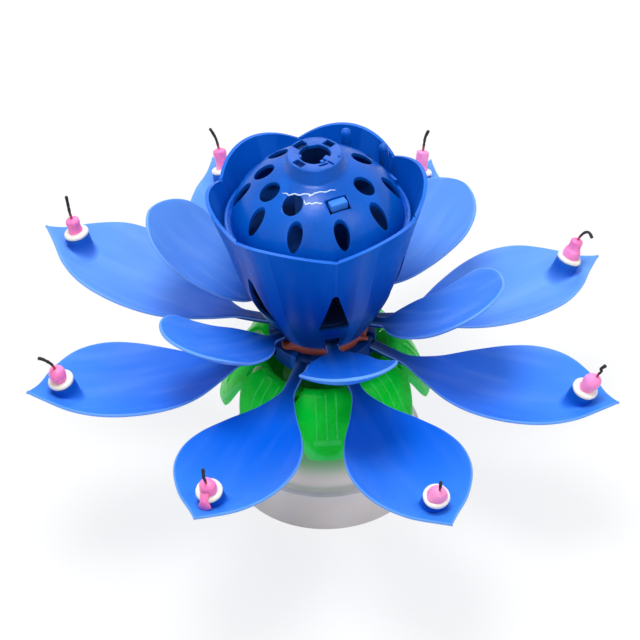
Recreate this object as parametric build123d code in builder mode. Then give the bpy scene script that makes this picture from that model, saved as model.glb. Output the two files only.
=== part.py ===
"""A musical birthday candle: a plastic lotus flower that opens and turns on its foot.

Frame: the foot stands on z = 0 with its centre at the origin, and the turning axis is +Z.
The camera side of the flower is -Y. All sizes are in millimetres, all angles in degrees.
"""
from build123d import *
from math import asin, atan2, cos, degrees, hypot, pi, radians, sin, sqrt
import os

os.makedirs("parts", exist_ok=True)

# Shared clearances
overrun = 2.0                # how far a cutting shape runs past the face it cuts
turning_gap = 0.1            # radial room round the drive shaft
fit_gap = 0.1                # room round pieces that are pushed or screwed together
hinge_gap = 0.2              # room beside a petal root in its notch

# Foot
foot_radius = 36.0
foot_skirt_height = 15.0
foot_skirt_top_radius = 34.6
foot_step = 1.7
foot_step_rise = 0.6
foot_shoulder_radius = 31.0
foot_shoulder_height = 30.0
foot_top_radius = 20.0
foot_height = 43.5
foot_wall = 1.8
foot_plate_thickness = 2.0
foot_screw_circle = 22.0
foot_boss_radius = 2.8
foot_screw_count = 4
foot_screw_length = 9.0
screw_radius = 1.2
screw_head_radius = 2.4
screw_head_height = 1.3

# Drive shaft, fixed in the foot
shaft_radius = 3.6
shaft_socket_radius = 6.6
shaft_socket_floor = 3.0
shaft_socket_bottom = 12.0
shaft_flange_radius = 6.2
shaft_flange_thickness = 1.5
shaft_collar_radius = 6.0
shaft_collar_thickness = 1.6
shaft_flat_depth = 0.8

# Calyx of eight leaves on the foot
calyx_leaf_count = 8
calyx_thickness = 1.3
calyx_floor_thickness = 1.4
calyx_radius = 38.5
calyx_crest_height = 14.5    # crest above the top of the foot
calyx_profile_shares = ((0.39, 0.097), (0.48, 0.48), (0.565, 0.88), (0.655, 1.0), (0.775, 0.81),
                        (0.9, 0.28), (1.0, -0.45))
calyx_leaf_tip_radius = 13.0
calyx_cut_half_width = 3.2
calyx_cut_depth = 3.4

# Petal hub, which turns on the shaft
stalk_length = 17.0          # clear shaft between the foot and the hub
retainer_thickness = 3.3
retainer_notch_depth = 2.2
hub_flange_thickness = 3.5
hub_neck_height = 4.7
hub_flange_margin = 2.0      # flange beyond the hinge circle
hub_neck_radius = 15.3
hub_lip_radius = 17.4
hub_lip_thickness = 0.6
hub_screw_circle = 9.5
hub_screw_count = 3
hub_screw_length = 11.0
hub_screw_turn = 20.0
band_thickness = 1.4
band_height = 3.9

# Petal hinges
pin_radius = 1.0
barrel_radius = 1.6
barrel_width = 4.6
pin_width = 7.4
outer_hinge_circle = 17.2
middle_hinge_circle = 15.9
hinge_rise = 1.2             # outer hinge axis above the face that closes its slots

# Outer petals, azimuth measured from +X
outer_count = 8
outer_turn = -114.0
outer_length = 94.0
outer_half_width = 20.4
outer_sag = 8.5
outer_cross_radius = 38.0
outer_rises = (5.5, 2.0, 0.3, -2.5, -2.0, 0.5, 11.0, 7.5)
outer_outline_shares = ((0.16, 0.13), (0.25, 0.34), (0.38, 0.7), (0.5, 0.92), (0.62, 1.0), (0.74, 0.91),
                        (0.86, 0.58), (0.94, 0.21))
petal_thickness = 1.2
stem_width = 4.6
stem_thickness = 2.2
stem_length_share = 0.24
stem_root_share = 0.012

# Middle petals
middle_count = 6
middle_turn = -81.0
middle_length = 57.6
middle_half_width = 16.8
middle_sag = 6.3
middle_cross_radius = 32.0
middle_rises = (28.0, 28.0, 22.0, 28.0, 33.5, 27.5)
middle_outline_shares = ((0.12, 0.14), (0.18, 0.36), (0.28, 0.6), (0.42, 0.77), (0.57, 0.92), (0.72, 1.0),
                         (0.86, 0.82), (0.96, 0.42))

# Candle cup, seat and stub on each outer petal
candle_place_share = 0.835
candle_cup_tilt = 22.0
candle_cup_radius = 4.5
candle_cup_height = 7.0
candle_cup_wall = 1.0
seat_radius = 4.6
seat_thickness = 1.6
seat_plug_length = 3.6
candle_radius = 2.5
candle_socket_depth = 2.6
candle_stub_heights = (7.5, 5.5, 7.6, 8.6, 9.3, 9.5, 9.2, 8.4)
candle_wick_leans = (-8.0, 6.0, 20.0, 24.0, 16.0, -14.0, -12.0, -22.0)
wick_radius = 0.55
wick_length = 7.0
wick_root = 2.0

# Cup, the fixed inner row of six joined petals
cup_lobe_count = 6
cup_radius = 36.0
cup_height = 52.9            # from its bottom to the valleys between the lobes
cup_lobe_rise = 5.0
cup_wall = 1.3
cup_floor_thickness = 3.4
cup_bulge = 1.0              # how far a lobe stands out at the rim
cup_profile_shares = ((0.486, 0.0), (0.583, 0.113), (0.68, 0.246), (0.758, 0.378), (0.83, 0.548),
                      (0.9, 0.747), (1.0, 1.0), (1.045, 1.13))
cup_notch_height = 7.5
cup_window_bottom = 14.6
cup_window_top = 38.7
cup_window_width = 11.4
cup_window_corner = 1.2
cup_ledge_width = 1.7
cup_ledge_thickness = 2.0

# Mechanism in the cup
gear_floor_gap = 1.6
sun_teeth = 24
sun_module = 0.7
planet_teeth = 12
wheel_teeth = 28
wheel_module = 0.5
motor_teeth = 10
gear_thickness = 4.0
wheel_thickness = 2.0
gear_play = 0.5
tooth_height_share = 0.8
tooth_root_share = 1.15
tooth_base_share = 0.62
tooth_tip_share = 0.24
arbor_radius = 1.5
arbor_azimuth = -60.0
mechanism_plate_radius = 22.6
mechanism_plate_thickness = 1.5
mechanism_post_radius = 2.3
mechanism_post_circle = 15.6
mechanism_post_azimuths = (50.0, 135.0, 225.0)
motor_radius = 6.0
motor_height = 15.0
motor_boss_radius = 2.2
motor_shaft_radius = 0.75
cell_radius = 5.8
cell_height = 5.4
cell_count = 3
holder_wall = 1.1
holder_floor = 1.0
holder_circle = 13.5
holder_azimuth = 95.0
contact_thickness = 0.5
board_radius = 23.5
board_thickness = 1.4
board_post_radius = 1.8
board_post_circle = 19.0
board_post_azimuths = (18.0, -110.0, 180.0)
board_headroom = 5.1         # between the melody chip and the sound disc
chip_length = 9.0
chip_width = 7.0
chip_height = 1.5
sound_disc_radius = 11.0
sound_disc_thickness = 0.8
plunger_azimuth_index = 3
plunger_radius = 1.2
plunger_collar_radius = 2.0
plunger_collar_thickness = 1.0
plunger_reach = 2.1          # how far the plunger stands out of the cup
plunger_travel = 1.4
plunger_rise = 1.6           # plunger axis above the top of the stem notch
leaf_thickness = 0.3
leaf_width = 4.0
leaf_gap = 1.2

# Seed pod dome with its ring and the cover below it
cover_thickness = 1.2
cover_edge_gap = 0.45
flange_thickness = 1.2
flange_edge_gap = 0.3
flange_rim_width = 1.2
flange_rim_height = 1.2
dome_radius = 30.0
dome_height = 23.2
dome_wall = 1.3
hole_lower_circle = 25.5
hole_lower_width = 5.2
hole_lower_length = 6.4
hole_lower_count = 10
hole_lower_turn = -72.0
hole_upper_circle = 17.8
hole_upper_radius = 3.1
hole_upper_azimuths = (-117.6, -152.5, 171.0, 135.0, -24.4, 26.0)
ring_base_radius = 10.3
ring_top_radius = 9.6
ring_height = 6.0
ring_plate_thickness = 1.4
ring_wall = 1.2
ring_opening_radius = 5.6
ring_slot_width = 2.2
ring_slot_length = 12.6
ring_slot_turn = 55.0
ring_window_circle = 7.6
ring_window_radius = 1.0
ring_window_turns = (10.0, 100.0, 190.0, 280.0)
latch_azimuth = -67.0
latch_circle = 18.0
latch_window_length = 6.4
latch_window_width = 3.8
latch_block_length = 5.2
latch_block_width = 2.4
latch_rise = 0.9
latch_arm_thickness = 1.4
socket_radius = 7.65
socket_bore_radius = 5.05
socket_floor = 2.0
peg_radius = 1.75
peg_circle = 29.9
peg_height = 16.5
peg_azimuths = (68.0, 37.0)

# Levels worked out from the stack of pieces
calyx_floor_top = foot_height + calyx_floor_thickness
retainer_bottom = foot_height + stalk_length
flange_bottom = retainer_bottom + retainer_thickness
neck_bottom = flange_bottom + hub_flange_thickness
cup_bottom = neck_bottom + hub_neck_height
outer_hinge_z = flange_bottom + hinge_rise
middle_hinge_rise = barrel_radius + hinge_gap
middle_hinge_z = cup_bottom + middle_hinge_rise
cup_floor_top = cup_bottom + cup_floor_thickness
rim_valley_z = cup_bottom + cup_height
rim_top_z = rim_valley_z + cup_lobe_rise
sun_bottom = cup_floor_top + gear_floor_gap
sun_top = sun_bottom + gear_thickness
wheel_bottom = sun_top + gear_play
wheel_top = wheel_bottom + wheel_thickness
plate_bottom = wheel_top + gear_floor_gap + gear_play
plate_top = plate_bottom + mechanism_plate_thickness
motor_top = plate_top + motor_height
cells_bottom = plate_top + holder_floor + contact_thickness
cells_top = cells_bottom + cell_count * cell_height
holder_top = cells_top + 2 * contact_thickness
board_bottom = holder_top + fit_gap
board_top = board_bottom + board_thickness
cover_bottom = board_top + chip_height + sound_disc_thickness + board_headroom
cover_top = cover_bottom + cover_thickness
flange_top = cover_top + flange_thickness
dome_top = flange_top + dome_height
ring_base_z = flange_top + dome_height * sqrt(1 - (ring_base_radius / dome_radius) ** 2)
ring_top = ring_base_z + ring_height
socket_top = ring_top - ring_plate_thickness - fit_gap
outer_flange_radius = outer_hinge_circle + hub_flange_margin
bore_radius = shaft_radius + turning_gap


def direction(azimuth):
    """Unit vector from the axis towards an azimuth."""
    return (cos(radians(azimuth)), sin(radians(azimuth)), 0)


def spot(azimuth, radius, height=0):
    """Point at a radius and height above an azimuth."""
    return (radius * cos(radians(azimuth)), radius * sin(radians(azimuth)), height)


def facing_plane(azimuth, radius=0, height=0):
    """Upright plane that looks outwards, with its Y axis up."""
    side = (-sin(radians(azimuth)), cos(radians(azimuth)), 0)
    return Plane(origin=spot(azimuth, radius, height), x_dir=side, z_dir=direction(azimuth))


def level_plane(height, azimuth=0):
    """Level plane whose X axis points to an azimuth."""
    return Plane(origin=(0, 0, height), x_dir=direction(azimuth), z_dir=(0, 0, 1))


def inset_points(points, thickness):
    """Points moved to the right of their path by a thickness."""
    moved = []
    for index, point in enumerate(points):
        before = points[max(index - 1, 0)]
        after = points[min(index + 1, len(points) - 1)]
        run = (after[0] - before[0], after[1] - before[1])
        size = hypot(*run)
        moved.append((point[0] + thickness * run[1] / size, point[1] - thickness * run[0] / size))
    return moved


def save(piece, label):
    """Label a finished piece and write its file."""
    piece.label = label
    export_step(piece, f"parts/{label}.step")


def round_bar(radius, bottom, top, azimuth=0, circle=0):
    """Upright bar between two levels."""
    with BuildPart() as bar:
        with BuildSketch(Plane.XY.offset(bottom)):
            with Locations(spot(azimuth, circle)[:2]):
                Circle(radius)
        extrude(amount=top - bottom)
    return bar.part


def ring_part(outer_radius, inner_radius, bottom, top):
    """Flat ring between two levels."""
    with BuildPart() as ring:
        with BuildSketch(Plane.XY.offset(bottom)):
            Circle(outer_radius)
            Circle(inner_radius, mode=Mode.SUBTRACT)
        extrude(amount=top - bottom)
    return ring.part


def pan_screw(azimuth, circle, seat_z, length, way):
    """Pan-head screw whose head sits on seat_z and whose shank runs along way, up or down."""
    with BuildPart() as screw:
        with BuildSketch(Plane.XY.offset(seat_z)):
            with Locations(spot(azimuth, circle)[:2]):
                Circle(screw_head_radius)
        extrude(amount=-way * screw_head_height)
        chamfer(screw.edges().sort_by(Axis.Z)[0 if way > 0 else -1], screw_head_height / 4)
        with BuildSketch(Plane.XY.offset(seat_z)):
            with Locations(spot(azimuth, circle)[:2]):
                Circle(screw_radius)
        extrude(amount=way * length)
    return screw.part


# Foot: a frosted shell, its plate and four screws
def foot_section(inset):
    """Half section of the foot, drawn in by a wall."""
    with BuildSketch(Plane.XZ) as section:
        with BuildLine():
            waist = (foot_skirt_top_radius - foot_step - inset, foot_skirt_height + foot_step_rise)
            shoulder = (foot_shoulder_radius - inset, foot_shoulder_height)
            crown = (foot_top_radius - inset / 2, foot_height - inset)
            Polyline((0, 0), (foot_radius - inset, 0), (foot_skirt_top_radius - inset, foot_skirt_height),
                     waist, shoulder)
            TangentArc(shoulder, crown, tangent=(shoulder[0] - waist[0], shoulder[1] - waist[1]))
            Polyline(crown, (0, crown[1]), (0, 0))
        make_face()
    return section.sketch


foot_screw_azimuths = [45 + 360 / foot_screw_count * index for index in range(foot_screw_count)]

with BuildPart() as foot_hollow:
    add(foot_section(foot_wall))
    revolve(axis=Axis.Z)
    for azimuth in foot_screw_azimuths:
        add(round_bar(foot_boss_radius, foot_plate_thickness, foot_height, azimuth, foot_screw_circle),
            mode=Mode.SUBTRACT)
    add(round_bar(shaft_socket_radius, shaft_socket_bottom, foot_height), mode=Mode.SUBTRACT)

with BuildPart() as foot_shell:
    add(foot_section(0))
    revolve(axis=Axis.Z)
    add(foot_hollow.part, mode=Mode.SUBTRACT)
    socket_base = shaft_socket_bottom + shaft_socket_floor
    add(round_bar(shaft_radius + fit_gap / 2, socket_base, foot_height + overrun), mode=Mode.SUBTRACT)
    add(round_bar(screw_radius + fit_gap, 0, foot_height), mode=Mode.SUBTRACT)
    for azimuth in foot_screw_azimuths:
        add(round_bar(screw_radius + fit_gap / 2, 0, foot_screw_length + fit_gap, azimuth, foot_screw_circle),
            mode=Mode.SUBTRACT)
save(foot_shell.part, "foot_shell")

with BuildPart() as foot_plate:
    with BuildSketch():
        Circle(foot_radius - foot_wall - 2 * fit_gap - foot_plate_thickness
               * (foot_radius - foot_skirt_top_radius) / foot_skirt_height)
    extrude(amount=foot_plate_thickness)
    for azimuth in foot_screw_azimuths:
        with Locations(Location(spot(azimuth, foot_screw_circle), (180, 0, 0))):
            CounterSinkHole(screw_radius + fit_gap, screw_head_radius + fit_gap, foot_plate_thickness, 90)
save(foot_plate.part, "foot_plate")

with BuildPart() as foot_screws:
    for azimuth in foot_screw_azimuths:
        with BuildSketch(Plane(origin=spot(azimuth, foot_screw_circle), x_dir=(1, 0, 0), z_dir=(0, -1, 0))):
            with BuildLine():
                Polyline((0, 0), (screw_head_radius, 0), (screw_radius, screw_head_radius - screw_radius),
                         (screw_radius, foot_screw_length), (0, foot_screw_length), (0, 0))
            make_face()
        revolve(axis=Axis(spot(azimuth, foot_screw_circle), (0, 0, 1)))
save(foot_screws.part, "foot_screws")

# Calyx: one green moulding with eight drooping leaves
calyx_top = [(calyx_radius * r, foot_height + calyx_crest_height * h) for r, h in calyx_profile_shares]
calyx_top[0] = (calyx_top[0][0], calyx_floor_top)
calyx_under = inset_points(calyx_top, calyx_thickness)
calyx_bisectors = [360 / calyx_leaf_count * (index + 1 / 2) - 90 for index in range(calyx_leaf_count)]

with BuildPart() as calyx:
    with BuildSketch(Plane.XZ):
        with BuildLine():
            Spline(*calyx_top)
            Line(calyx_top[-1], calyx_under[-1])
            Spline(*calyx_under[1:])
            Polyline(calyx_under[1], (calyx_top[0][0] + calyx_thickness, foot_height),
                     (shaft_radius + fit_gap, foot_height), (shaft_radius + fit_gap, calyx_floor_top),
                     calyx_top[0])
        make_face()
    revolve(axis=Axis.Z)
    with BuildSketch(Plane.XY.offset(foot_height - calyx_crest_height)):
        Circle(calyx_radius - calyx_leaf_tip_radius)
        with PolarLocations(calyx_radius - calyx_leaf_tip_radius, calyx_leaf_count, start_angle=-90):
            Circle(calyx_leaf_tip_radius)
    extrude(amount=3 * calyx_crest_height, mode=Mode.INTERSECT)
    for azimuth in calyx_bisectors:
        crest_z = foot_height + calyx_crest_height
        with BuildSketch(facing_plane(azimuth)):
            with BuildLine():
                Polyline((-calyx_cut_half_width, crest_z + overrun), (0, crest_z - calyx_cut_depth),
                         (calyx_cut_half_width, crest_z + overrun), close=True)
            make_face()
        extrude(amount=calyx_radius, mode=Mode.SUBTRACT)
save(calyx.part, "calyx")

# Drive shaft, held in the foot by a screw, with a second screw on the sun gear
shaft_bottom = shaft_socket_bottom + shaft_socket_floor
shaft_top = sun_top
with BuildPart() as drive_shaft:
    add(round_bar(shaft_radius, shaft_bottom, shaft_top))
    add(round_bar(shaft_flange_radius, calyx_floor_top, calyx_floor_top + shaft_flange_thickness))
    collar_top = retainer_bottom - fit_gap
    add(round_bar(shaft_collar_radius, collar_top - shaft_collar_thickness, collar_top))
    with BuildSketch(Plane.XY.offset(sun_bottom)):
        with Locations((shaft_radius, 0)):
            Rectangle(2 * shaft_flat_depth, 2 * shaft_radius)
    extrude(amount=gear_thickness + overrun, mode=Mode.SUBTRACT)
    for hole_bottom in (shaft_bottom, shaft_top - foot_screw_length):
        add(round_bar(screw_radius + fit_gap / 2, hole_bottom, hole_bottom + foot_screw_length),
            mode=Mode.SUBTRACT)
save(drive_shaft.part, "drive_shaft")

with BuildPart() as shaft_screws:
    add(pan_screw(0, 0, shaft_socket_bottom, foot_screw_length + shaft_socket_floor - overrun, 1))
    add(pan_screw(0, 0, sun_top + fit_gap / 2, foot_screw_length - overrun, -1))
save(shaft_screws.part, "shaft_screws")


# Gears with straight-sided teeth and free play
def gear_part(teeth, module, bottom, thickness, turn):
    """Gear blank with teeth, tooth 0 at the azimuth turn."""
    pitch_radius = module * teeth / 2
    tip = pitch_radius + tooth_height_share * module
    root = pitch_radius - tooth_root_share * module
    half_base = tooth_base_share * pi * module / 2
    half_tip = tooth_tip_share * pi * module / 2
    with BuildPart() as gear:
        with BuildSketch(level_plane(bottom, turn)):
            Circle(root)
            with PolarLocations(0, teeth):
                with BuildLine():
                    Polyline((root - half_tip, -half_base), (root, -half_base), (tip, -half_tip),
                             (tip, half_tip), (root, half_base), (root - half_tip, half_base), close=True)
                make_face()
        extrude(amount=thickness)
    return gear.part


sun_pitch_radius = sun_module * sun_teeth / 2
planet_pitch_radius = sun_module * planet_teeth / 2
wheel_pitch_radius = wheel_module * wheel_teeth / 2
motor_pitch_radius = wheel_module * motor_teeth / 2
arbor_circle = sun_pitch_radius + planet_pitch_radius
motor_distance = wheel_pitch_radius + motor_pitch_radius
motor_swing = 2 * degrees(asin(motor_distance / 2 / arbor_circle))
motor_azimuth = arbor_azimuth + motor_swing
arbor_spot = Vector(*spot(arbor_azimuth, arbor_circle))
motor_spot = Vector(*spot(motor_azimuth, arbor_circle))
wheel_to_motor = motor_spot - arbor_spot
mesh_azimuth = degrees(atan2(wheel_to_motor.Y, wheel_to_motor.X))

with BuildPart() as sun_gear:
    add(gear_part(sun_teeth, sun_module, sun_bottom, gear_thickness, arbor_azimuth))
    with BuildSketch(Plane.XY.offset(sun_bottom)):
        Circle(shaft_radius + fit_gap / 2)
        with Locations((shaft_radius + fit_gap / 2, 0)):
            Rectangle(2 * shaft_flat_depth, 2 * shaft_radius, mode=Mode.SUBTRACT)
    extrude(amount=gear_thickness, mode=Mode.SUBTRACT)
save(sun_gear.part, "sun_gear")

planet_turn = arbor_azimuth + 180 + 180 / planet_teeth
with BuildPart() as compound_gear:
    add(gear_part(planet_teeth, sun_module, sun_bottom, gear_thickness, planet_turn)
        .moved(Location(arbor_spot)))
    add(round_bar(planet_pitch_radius - tooth_root_share * sun_module, sun_top, wheel_bottom)
        .moved(Location(arbor_spot)))
    add(gear_part(wheel_teeth, wheel_module, wheel_bottom, wheel_thickness, mesh_azimuth)
        .moved(Location(arbor_spot)))
    add(round_bar(arbor_radius + turning_gap, sun_bottom - overrun, wheel_top + overrun)
        .moved(Location(arbor_spot)), mode=Mode.SUBTRACT)
save(compound_gear.part, "compound_gear")

arbor_bottom = cup_floor_top - cup_floor_thickness / 2
with BuildPart() as gear_arbor:
    add(round_bar(arbor_radius, arbor_bottom, plate_top, arbor_azimuth, arbor_circle))
save(gear_arbor.part, "gear_arbor")

pinion_turn = mesh_azimuth + 180 + 180 / motor_teeth
pinion_top = plate_bottom - gear_play
with BuildPart() as motor_pinion:
    pinion_bottom = wheel_bottom - gear_play
    add(gear_part(motor_teeth, wheel_module, pinion_bottom, pinion_top - pinion_bottom, pinion_turn)
        .moved(Location(motor_spot)))
    add(round_bar(motor_shaft_radius, pinion_top, motor_top - motor_height / 2).moved(Location(motor_spot)))
save(motor_pinion.part, "motor_pinion")


# Cup: six joined petals in one moulding
def cup_points(inset):
    """Radius and height of the cup's half section, drawn in by a wall."""
    return [(cup_radius * r - inset, cup_bottom + cup_height * h) for r, h in cup_profile_shares]


def cup_section(radius, height, bulge):
    """Six-lobed section of the cup on a level plane."""
    step = 360 / cup_lobe_count
    with BuildSketch(level_plane(height, middle_turn)) as section:
        with BuildLine():
            for index in range(cup_lobe_count):
                crown = spot(step * (index + 1 / 2), radius + bulge)
                ThreePointArc(spot(step * index, radius)[:2], crown[:2], spot(step * (index + 1), radius)[:2])
        make_face()
    return section.sketch


def cup_body(inset):
    """Solid bounded by the cup's outer face, drawn in by a wall."""
    points = cup_points(inset)
    with BuildPart() as body:
        for (radius, height), (r_share, h_share) in zip(points, cup_profile_shares):
            add(cup_section(radius, height, cup_bulge * h_share * h_share))
        loft()
    return body.part


def cup_radius_at(height):
    """Outer radius of the cup's valleys at a height, by straight steps of its profile."""
    points = cup_points(0)
    for low, high in zip(points, points[1:]):
        if height <= high[1]:
            break
    return low[0] + (high[0] - low[0]) * (height - low[1]) / (high[1] - low[1])


middle_azimuths = [middle_turn + 360 / middle_count * index for index in range(middle_count)]
lobe_azimuths = [azimuth + 180 / cup_lobe_count for azimuth in middle_azimuths]
plunger_azimuth = middle_azimuths[plunger_azimuth_index]
plunger_z = cup_bottom + cup_notch_height + plunger_rise
ledge_top = cover_bottom
hub_screw_azimuths = [hub_screw_turn + 360 / hub_screw_count * index for index in range(hub_screw_count)]

with BuildPart() as cup_hollow:
    add(cup_body(cup_wall))
    with BuildSketch(Plane.XY.offset(cup_bottom - overrun)):
        Circle(cup_radius)
    extrude(amount=cup_floor_thickness + overrun, mode=Mode.SUBTRACT)
    add(ring_part(2 * cup_radius, cup_radius_at(ledge_top) - cup_wall - cup_ledge_width,
                  ledge_top - cup_ledge_thickness, ledge_top), mode=Mode.SUBTRACT)
    for azimuth in mechanism_post_azimuths:
        add(round_bar(mechanism_post_radius, cup_bottom, plate_bottom, azimuth, mechanism_post_circle),
            mode=Mode.SUBTRACT)

with BuildPart() as cup:
    add(cup_body(0))
    add(cup_hollow.part, mode=Mode.SUBTRACT)
    for azimuth in lobe_azimuths:
        half = cup_radius * sin(pi / cup_lobe_count)
        with BuildSketch(facing_plane(azimuth)):
            with BuildLine():
                ThreePointArc((-half, rim_valley_z), (0, rim_top_z), (half, rim_valley_z))
                flare = half + cup_bulge
                flare_z = rim_valley_z + 2 * cup_bulge
                clear_z = rim_top_z + cup_lobe_rise
                Polyline((half, rim_valley_z), (flare, flare_z), (flare, clear_z), (-flare, clear_z),
                         (-flare, flare_z), (-half, rim_valley_z))
            make_face()
        extrude(amount=2 * cup_radius, mode=Mode.SUBTRACT)
    for azimuth in middle_azimuths:
        with BuildSketch(facing_plane(azimuth, middle_hinge_circle - barrel_radius - hinge_gap)):
            with Locations((0, cup_bottom)):
                Rectangle(barrel_width + 2 * hinge_gap, 2 * cup_notch_height)
        extrude(amount=cup_radius, mode=Mode.SUBTRACT)
        with BuildSketch(level_plane(cup_bottom, azimuth)):
            with Locations((middle_hinge_circle, 0)):
                Rectangle(2 * (pin_radius + fit_gap), pin_width + 2 * hinge_gap)
        extrude(amount=middle_hinge_rise + pin_radius + fit_gap, mode=Mode.SUBTRACT)
        with BuildSketch(facing_plane(azimuth, mechanism_post_circle + mechanism_post_radius)):
            with BuildLine():
                FilletPolyline((-cup_window_width / 2, cup_bottom + cup_window_bottom),
                               (cup_window_width / 2, cup_bottom + cup_window_bottom),
                               (0, cup_bottom + cup_window_top), radius=cup_window_corner, close=True)
            make_face()
        extrude(amount=cup_radius, mode=Mode.SUBTRACT)
    add(round_bar(bore_radius, cup_bottom - overrun, cup_floor_top + overrun), mode=Mode.SUBTRACT)
    add(round_bar(arbor_radius + fit_gap / 2, arbor_bottom, cup_floor_top + overrun, arbor_azimuth,
                  arbor_circle), mode=Mode.SUBTRACT)
    for azimuth in mechanism_post_azimuths:
        add(round_bar(screw_radius + fit_gap / 2, plate_bottom - foot_screw_length, plate_bottom + overrun,
                      azimuth, mechanism_post_circle), mode=Mode.SUBTRACT)
    for azimuth in hub_screw_azimuths:
        add(round_bar(screw_radius + fit_gap / 2, cup_bottom - overrun, cup_floor_top + overrun, azimuth,
                      hub_screw_circle), mode=Mode.SUBTRACT)
    with BuildSketch(facing_plane(plunger_azimuth, mechanism_post_circle)):
        with Locations((0, plunger_z)):
            Circle(plunger_radius + fit_gap)
    extrude(amount=cup_radius, mode=Mode.SUBTRACT)
save(cup.part, "cup")

# Hub, its retainer ring and screws, and the rubber band round its neck
outer_azimuths = [outer_turn + 360 / outer_count * index for index in range(outer_count)]
hub_screw_seat = retainer_bottom + screw_head_height


def hinge_notch(azimuth, bottom, top):
    """Block that cuts a radial notch for a petal root, open outwards."""
    inner = outer_hinge_circle - barrel_radius - hinge_gap
    with BuildPart() as notch:
        with BuildSketch(level_plane(bottom, azimuth)):
            with Locations((inner + outer_flange_radius / 2, 0)):
                Rectangle(outer_flange_radius, barrel_width + 2 * hinge_gap)
        extrude(amount=top - bottom)
    return notch.part


with BuildPart() as petal_hub:
    add(ring_part(outer_flange_radius, bore_radius, flange_bottom, neck_bottom))
    add(ring_part(hub_neck_radius, bore_radius, neck_bottom, cup_bottom))
    add(ring_part(hub_lip_radius, bore_radius, cup_bottom - hub_lip_thickness, cup_bottom))
    for azimuth in outer_azimuths:
        add(hinge_notch(azimuth, flange_bottom, neck_bottom), mode=Mode.SUBTRACT)
        with BuildSketch(level_plane(flange_bottom, azimuth)):
            with Locations((outer_hinge_circle, 0)):
                Rectangle(2 * (pin_radius + fit_gap), pin_width + 2 * hinge_gap)
        extrude(amount=hinge_rise + pin_radius + fit_gap, mode=Mode.SUBTRACT)
    for azimuth in hub_screw_azimuths:
        add(round_bar(screw_radius + fit_gap, flange_bottom - overrun, cup_bottom + overrun, azimuth,
                      hub_screw_circle), mode=Mode.SUBTRACT)
save(petal_hub.part, "petal_hub")

with BuildPart() as hub_retainer:
    add(ring_part(outer_flange_radius, bore_radius, retainer_bottom, flange_bottom))
    for azimuth in outer_azimuths:
        add(hinge_notch(azimuth, flange_bottom - retainer_notch_depth, flange_bottom), mode=Mode.SUBTRACT)
    for azimuth in hub_screw_azimuths:
        add(round_bar(screw_radius + fit_gap, retainer_bottom - overrun, flange_bottom + overrun, azimuth,
                      hub_screw_circle), mode=Mode.SUBTRACT)
        add(round_bar(screw_head_radius + fit_gap, retainer_bottom - overrun, hub_screw_seat, azimuth,
                      hub_screw_circle), mode=Mode.SUBTRACT)
save(hub_retainer.part, "hub_retainer")

with BuildPart() as hub_screws:
    for azimuth in hub_screw_azimuths:
        add(pan_screw(azimuth, hub_screw_circle, hub_screw_seat, hub_screw_length, 1))
save(hub_screws.part, "hub_screws")

with BuildPart() as rubber_band:
    add(ring_part(hub_neck_radius + fit_gap / 2 + band_thickness, hub_neck_radius + fit_gap / 2,
                  neck_bottom + fit_gap, neck_bottom + fit_gap + band_height))
    fillet(rubber_band.edges().filter_by(GeomType.CIRCLE), band_thickness / 4)
save(rubber_band.part, "rubber_band")

# Mechanism plate with the motor, the cells and the music board
with BuildPart() as mechanism_plate:
    add(round_bar(mechanism_plate_radius, plate_bottom, plate_top))
    for azimuth in board_post_azimuths:
        add(round_bar(board_post_radius, plate_top, board_bottom, azimuth, board_post_circle))
    for azimuth in mechanism_post_azimuths:
        add(round_bar(screw_radius + fit_gap, plate_bottom - overrun, plate_top + overrun, azimuth,
                      mechanism_post_circle), mode=Mode.SUBTRACT)
    add(round_bar(arbor_radius + fit_gap / 2, plate_bottom - overrun, plate_top + overrun, arbor_azimuth,
                  arbor_circle), mode=Mode.SUBTRACT)
    add(round_bar(motor_shaft_radius + turning_gap, plate_bottom - overrun, plate_top + overrun,
                  motor_azimuth, arbor_circle), mode=Mode.SUBTRACT)
save(mechanism_plate.part, "mechanism_plate")

with BuildPart() as plate_screws:
    for azimuth in mechanism_post_azimuths:
        add(pan_screw(azimuth, mechanism_post_circle, plate_top, foot_screw_length, -1))
save(plate_screws.part, "plate_screws")

with BuildPart() as motor:
    add(round_bar(motor_radius, plate_top, motor_top))
    fillet(motor.edges().group_by(Axis.Z)[-1], motor_radius / 8)
    add(round_bar(motor_boss_radius, motor_top, motor_top + motor_boss_radius / 2))
    add(round_bar(motor_shaft_radius + fit_gap, plate_top - overrun, motor_top - motor_height / 2 + fit_gap),
        mode=Mode.SUBTRACT)
motor_part = motor.part.moved(Location(motor_spot))
save(motor_part, "motor")

holder_spot = Vector(*spot(holder_azimuth, holder_circle))
with BuildPart() as battery_holder:
    add(round_bar(cell_radius + fit_gap + holder_wall, plate_top, holder_top))
    add(round_bar(cell_radius + fit_gap, plate_top + holder_floor, holder_top + overrun), mode=Mode.SUBTRACT)
    with BuildSketch(Plane.XY.offset(cells_bottom + cell_height / 2)):
        with Locations((0, cell_radius + holder_wall)):
            Rectangle(cell_radius, 2 * holder_wall + cell_radius)
    extrude(amount=(cell_count - 1) * cell_height, mode=Mode.SUBTRACT)
holder_part = battery_holder.part.moved(Location(holder_spot))
save(holder_part, "battery_holder")

with BuildPart() as button_cells:
    for index in range(cell_count):
        level = cells_bottom + index * cell_height
        with BuildSketch(Plane.XY.offset(level + fit_gap / 2)):
            Circle(cell_radius)
        extrude(amount=cell_height - fit_gap)
    chamfer(button_cells.edges().filter_by(GeomType.CIRCLE), cell_height / 12)
cells_part = button_cells.part.moved(Location(holder_spot))
save(cells_part, "button_cells")

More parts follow.
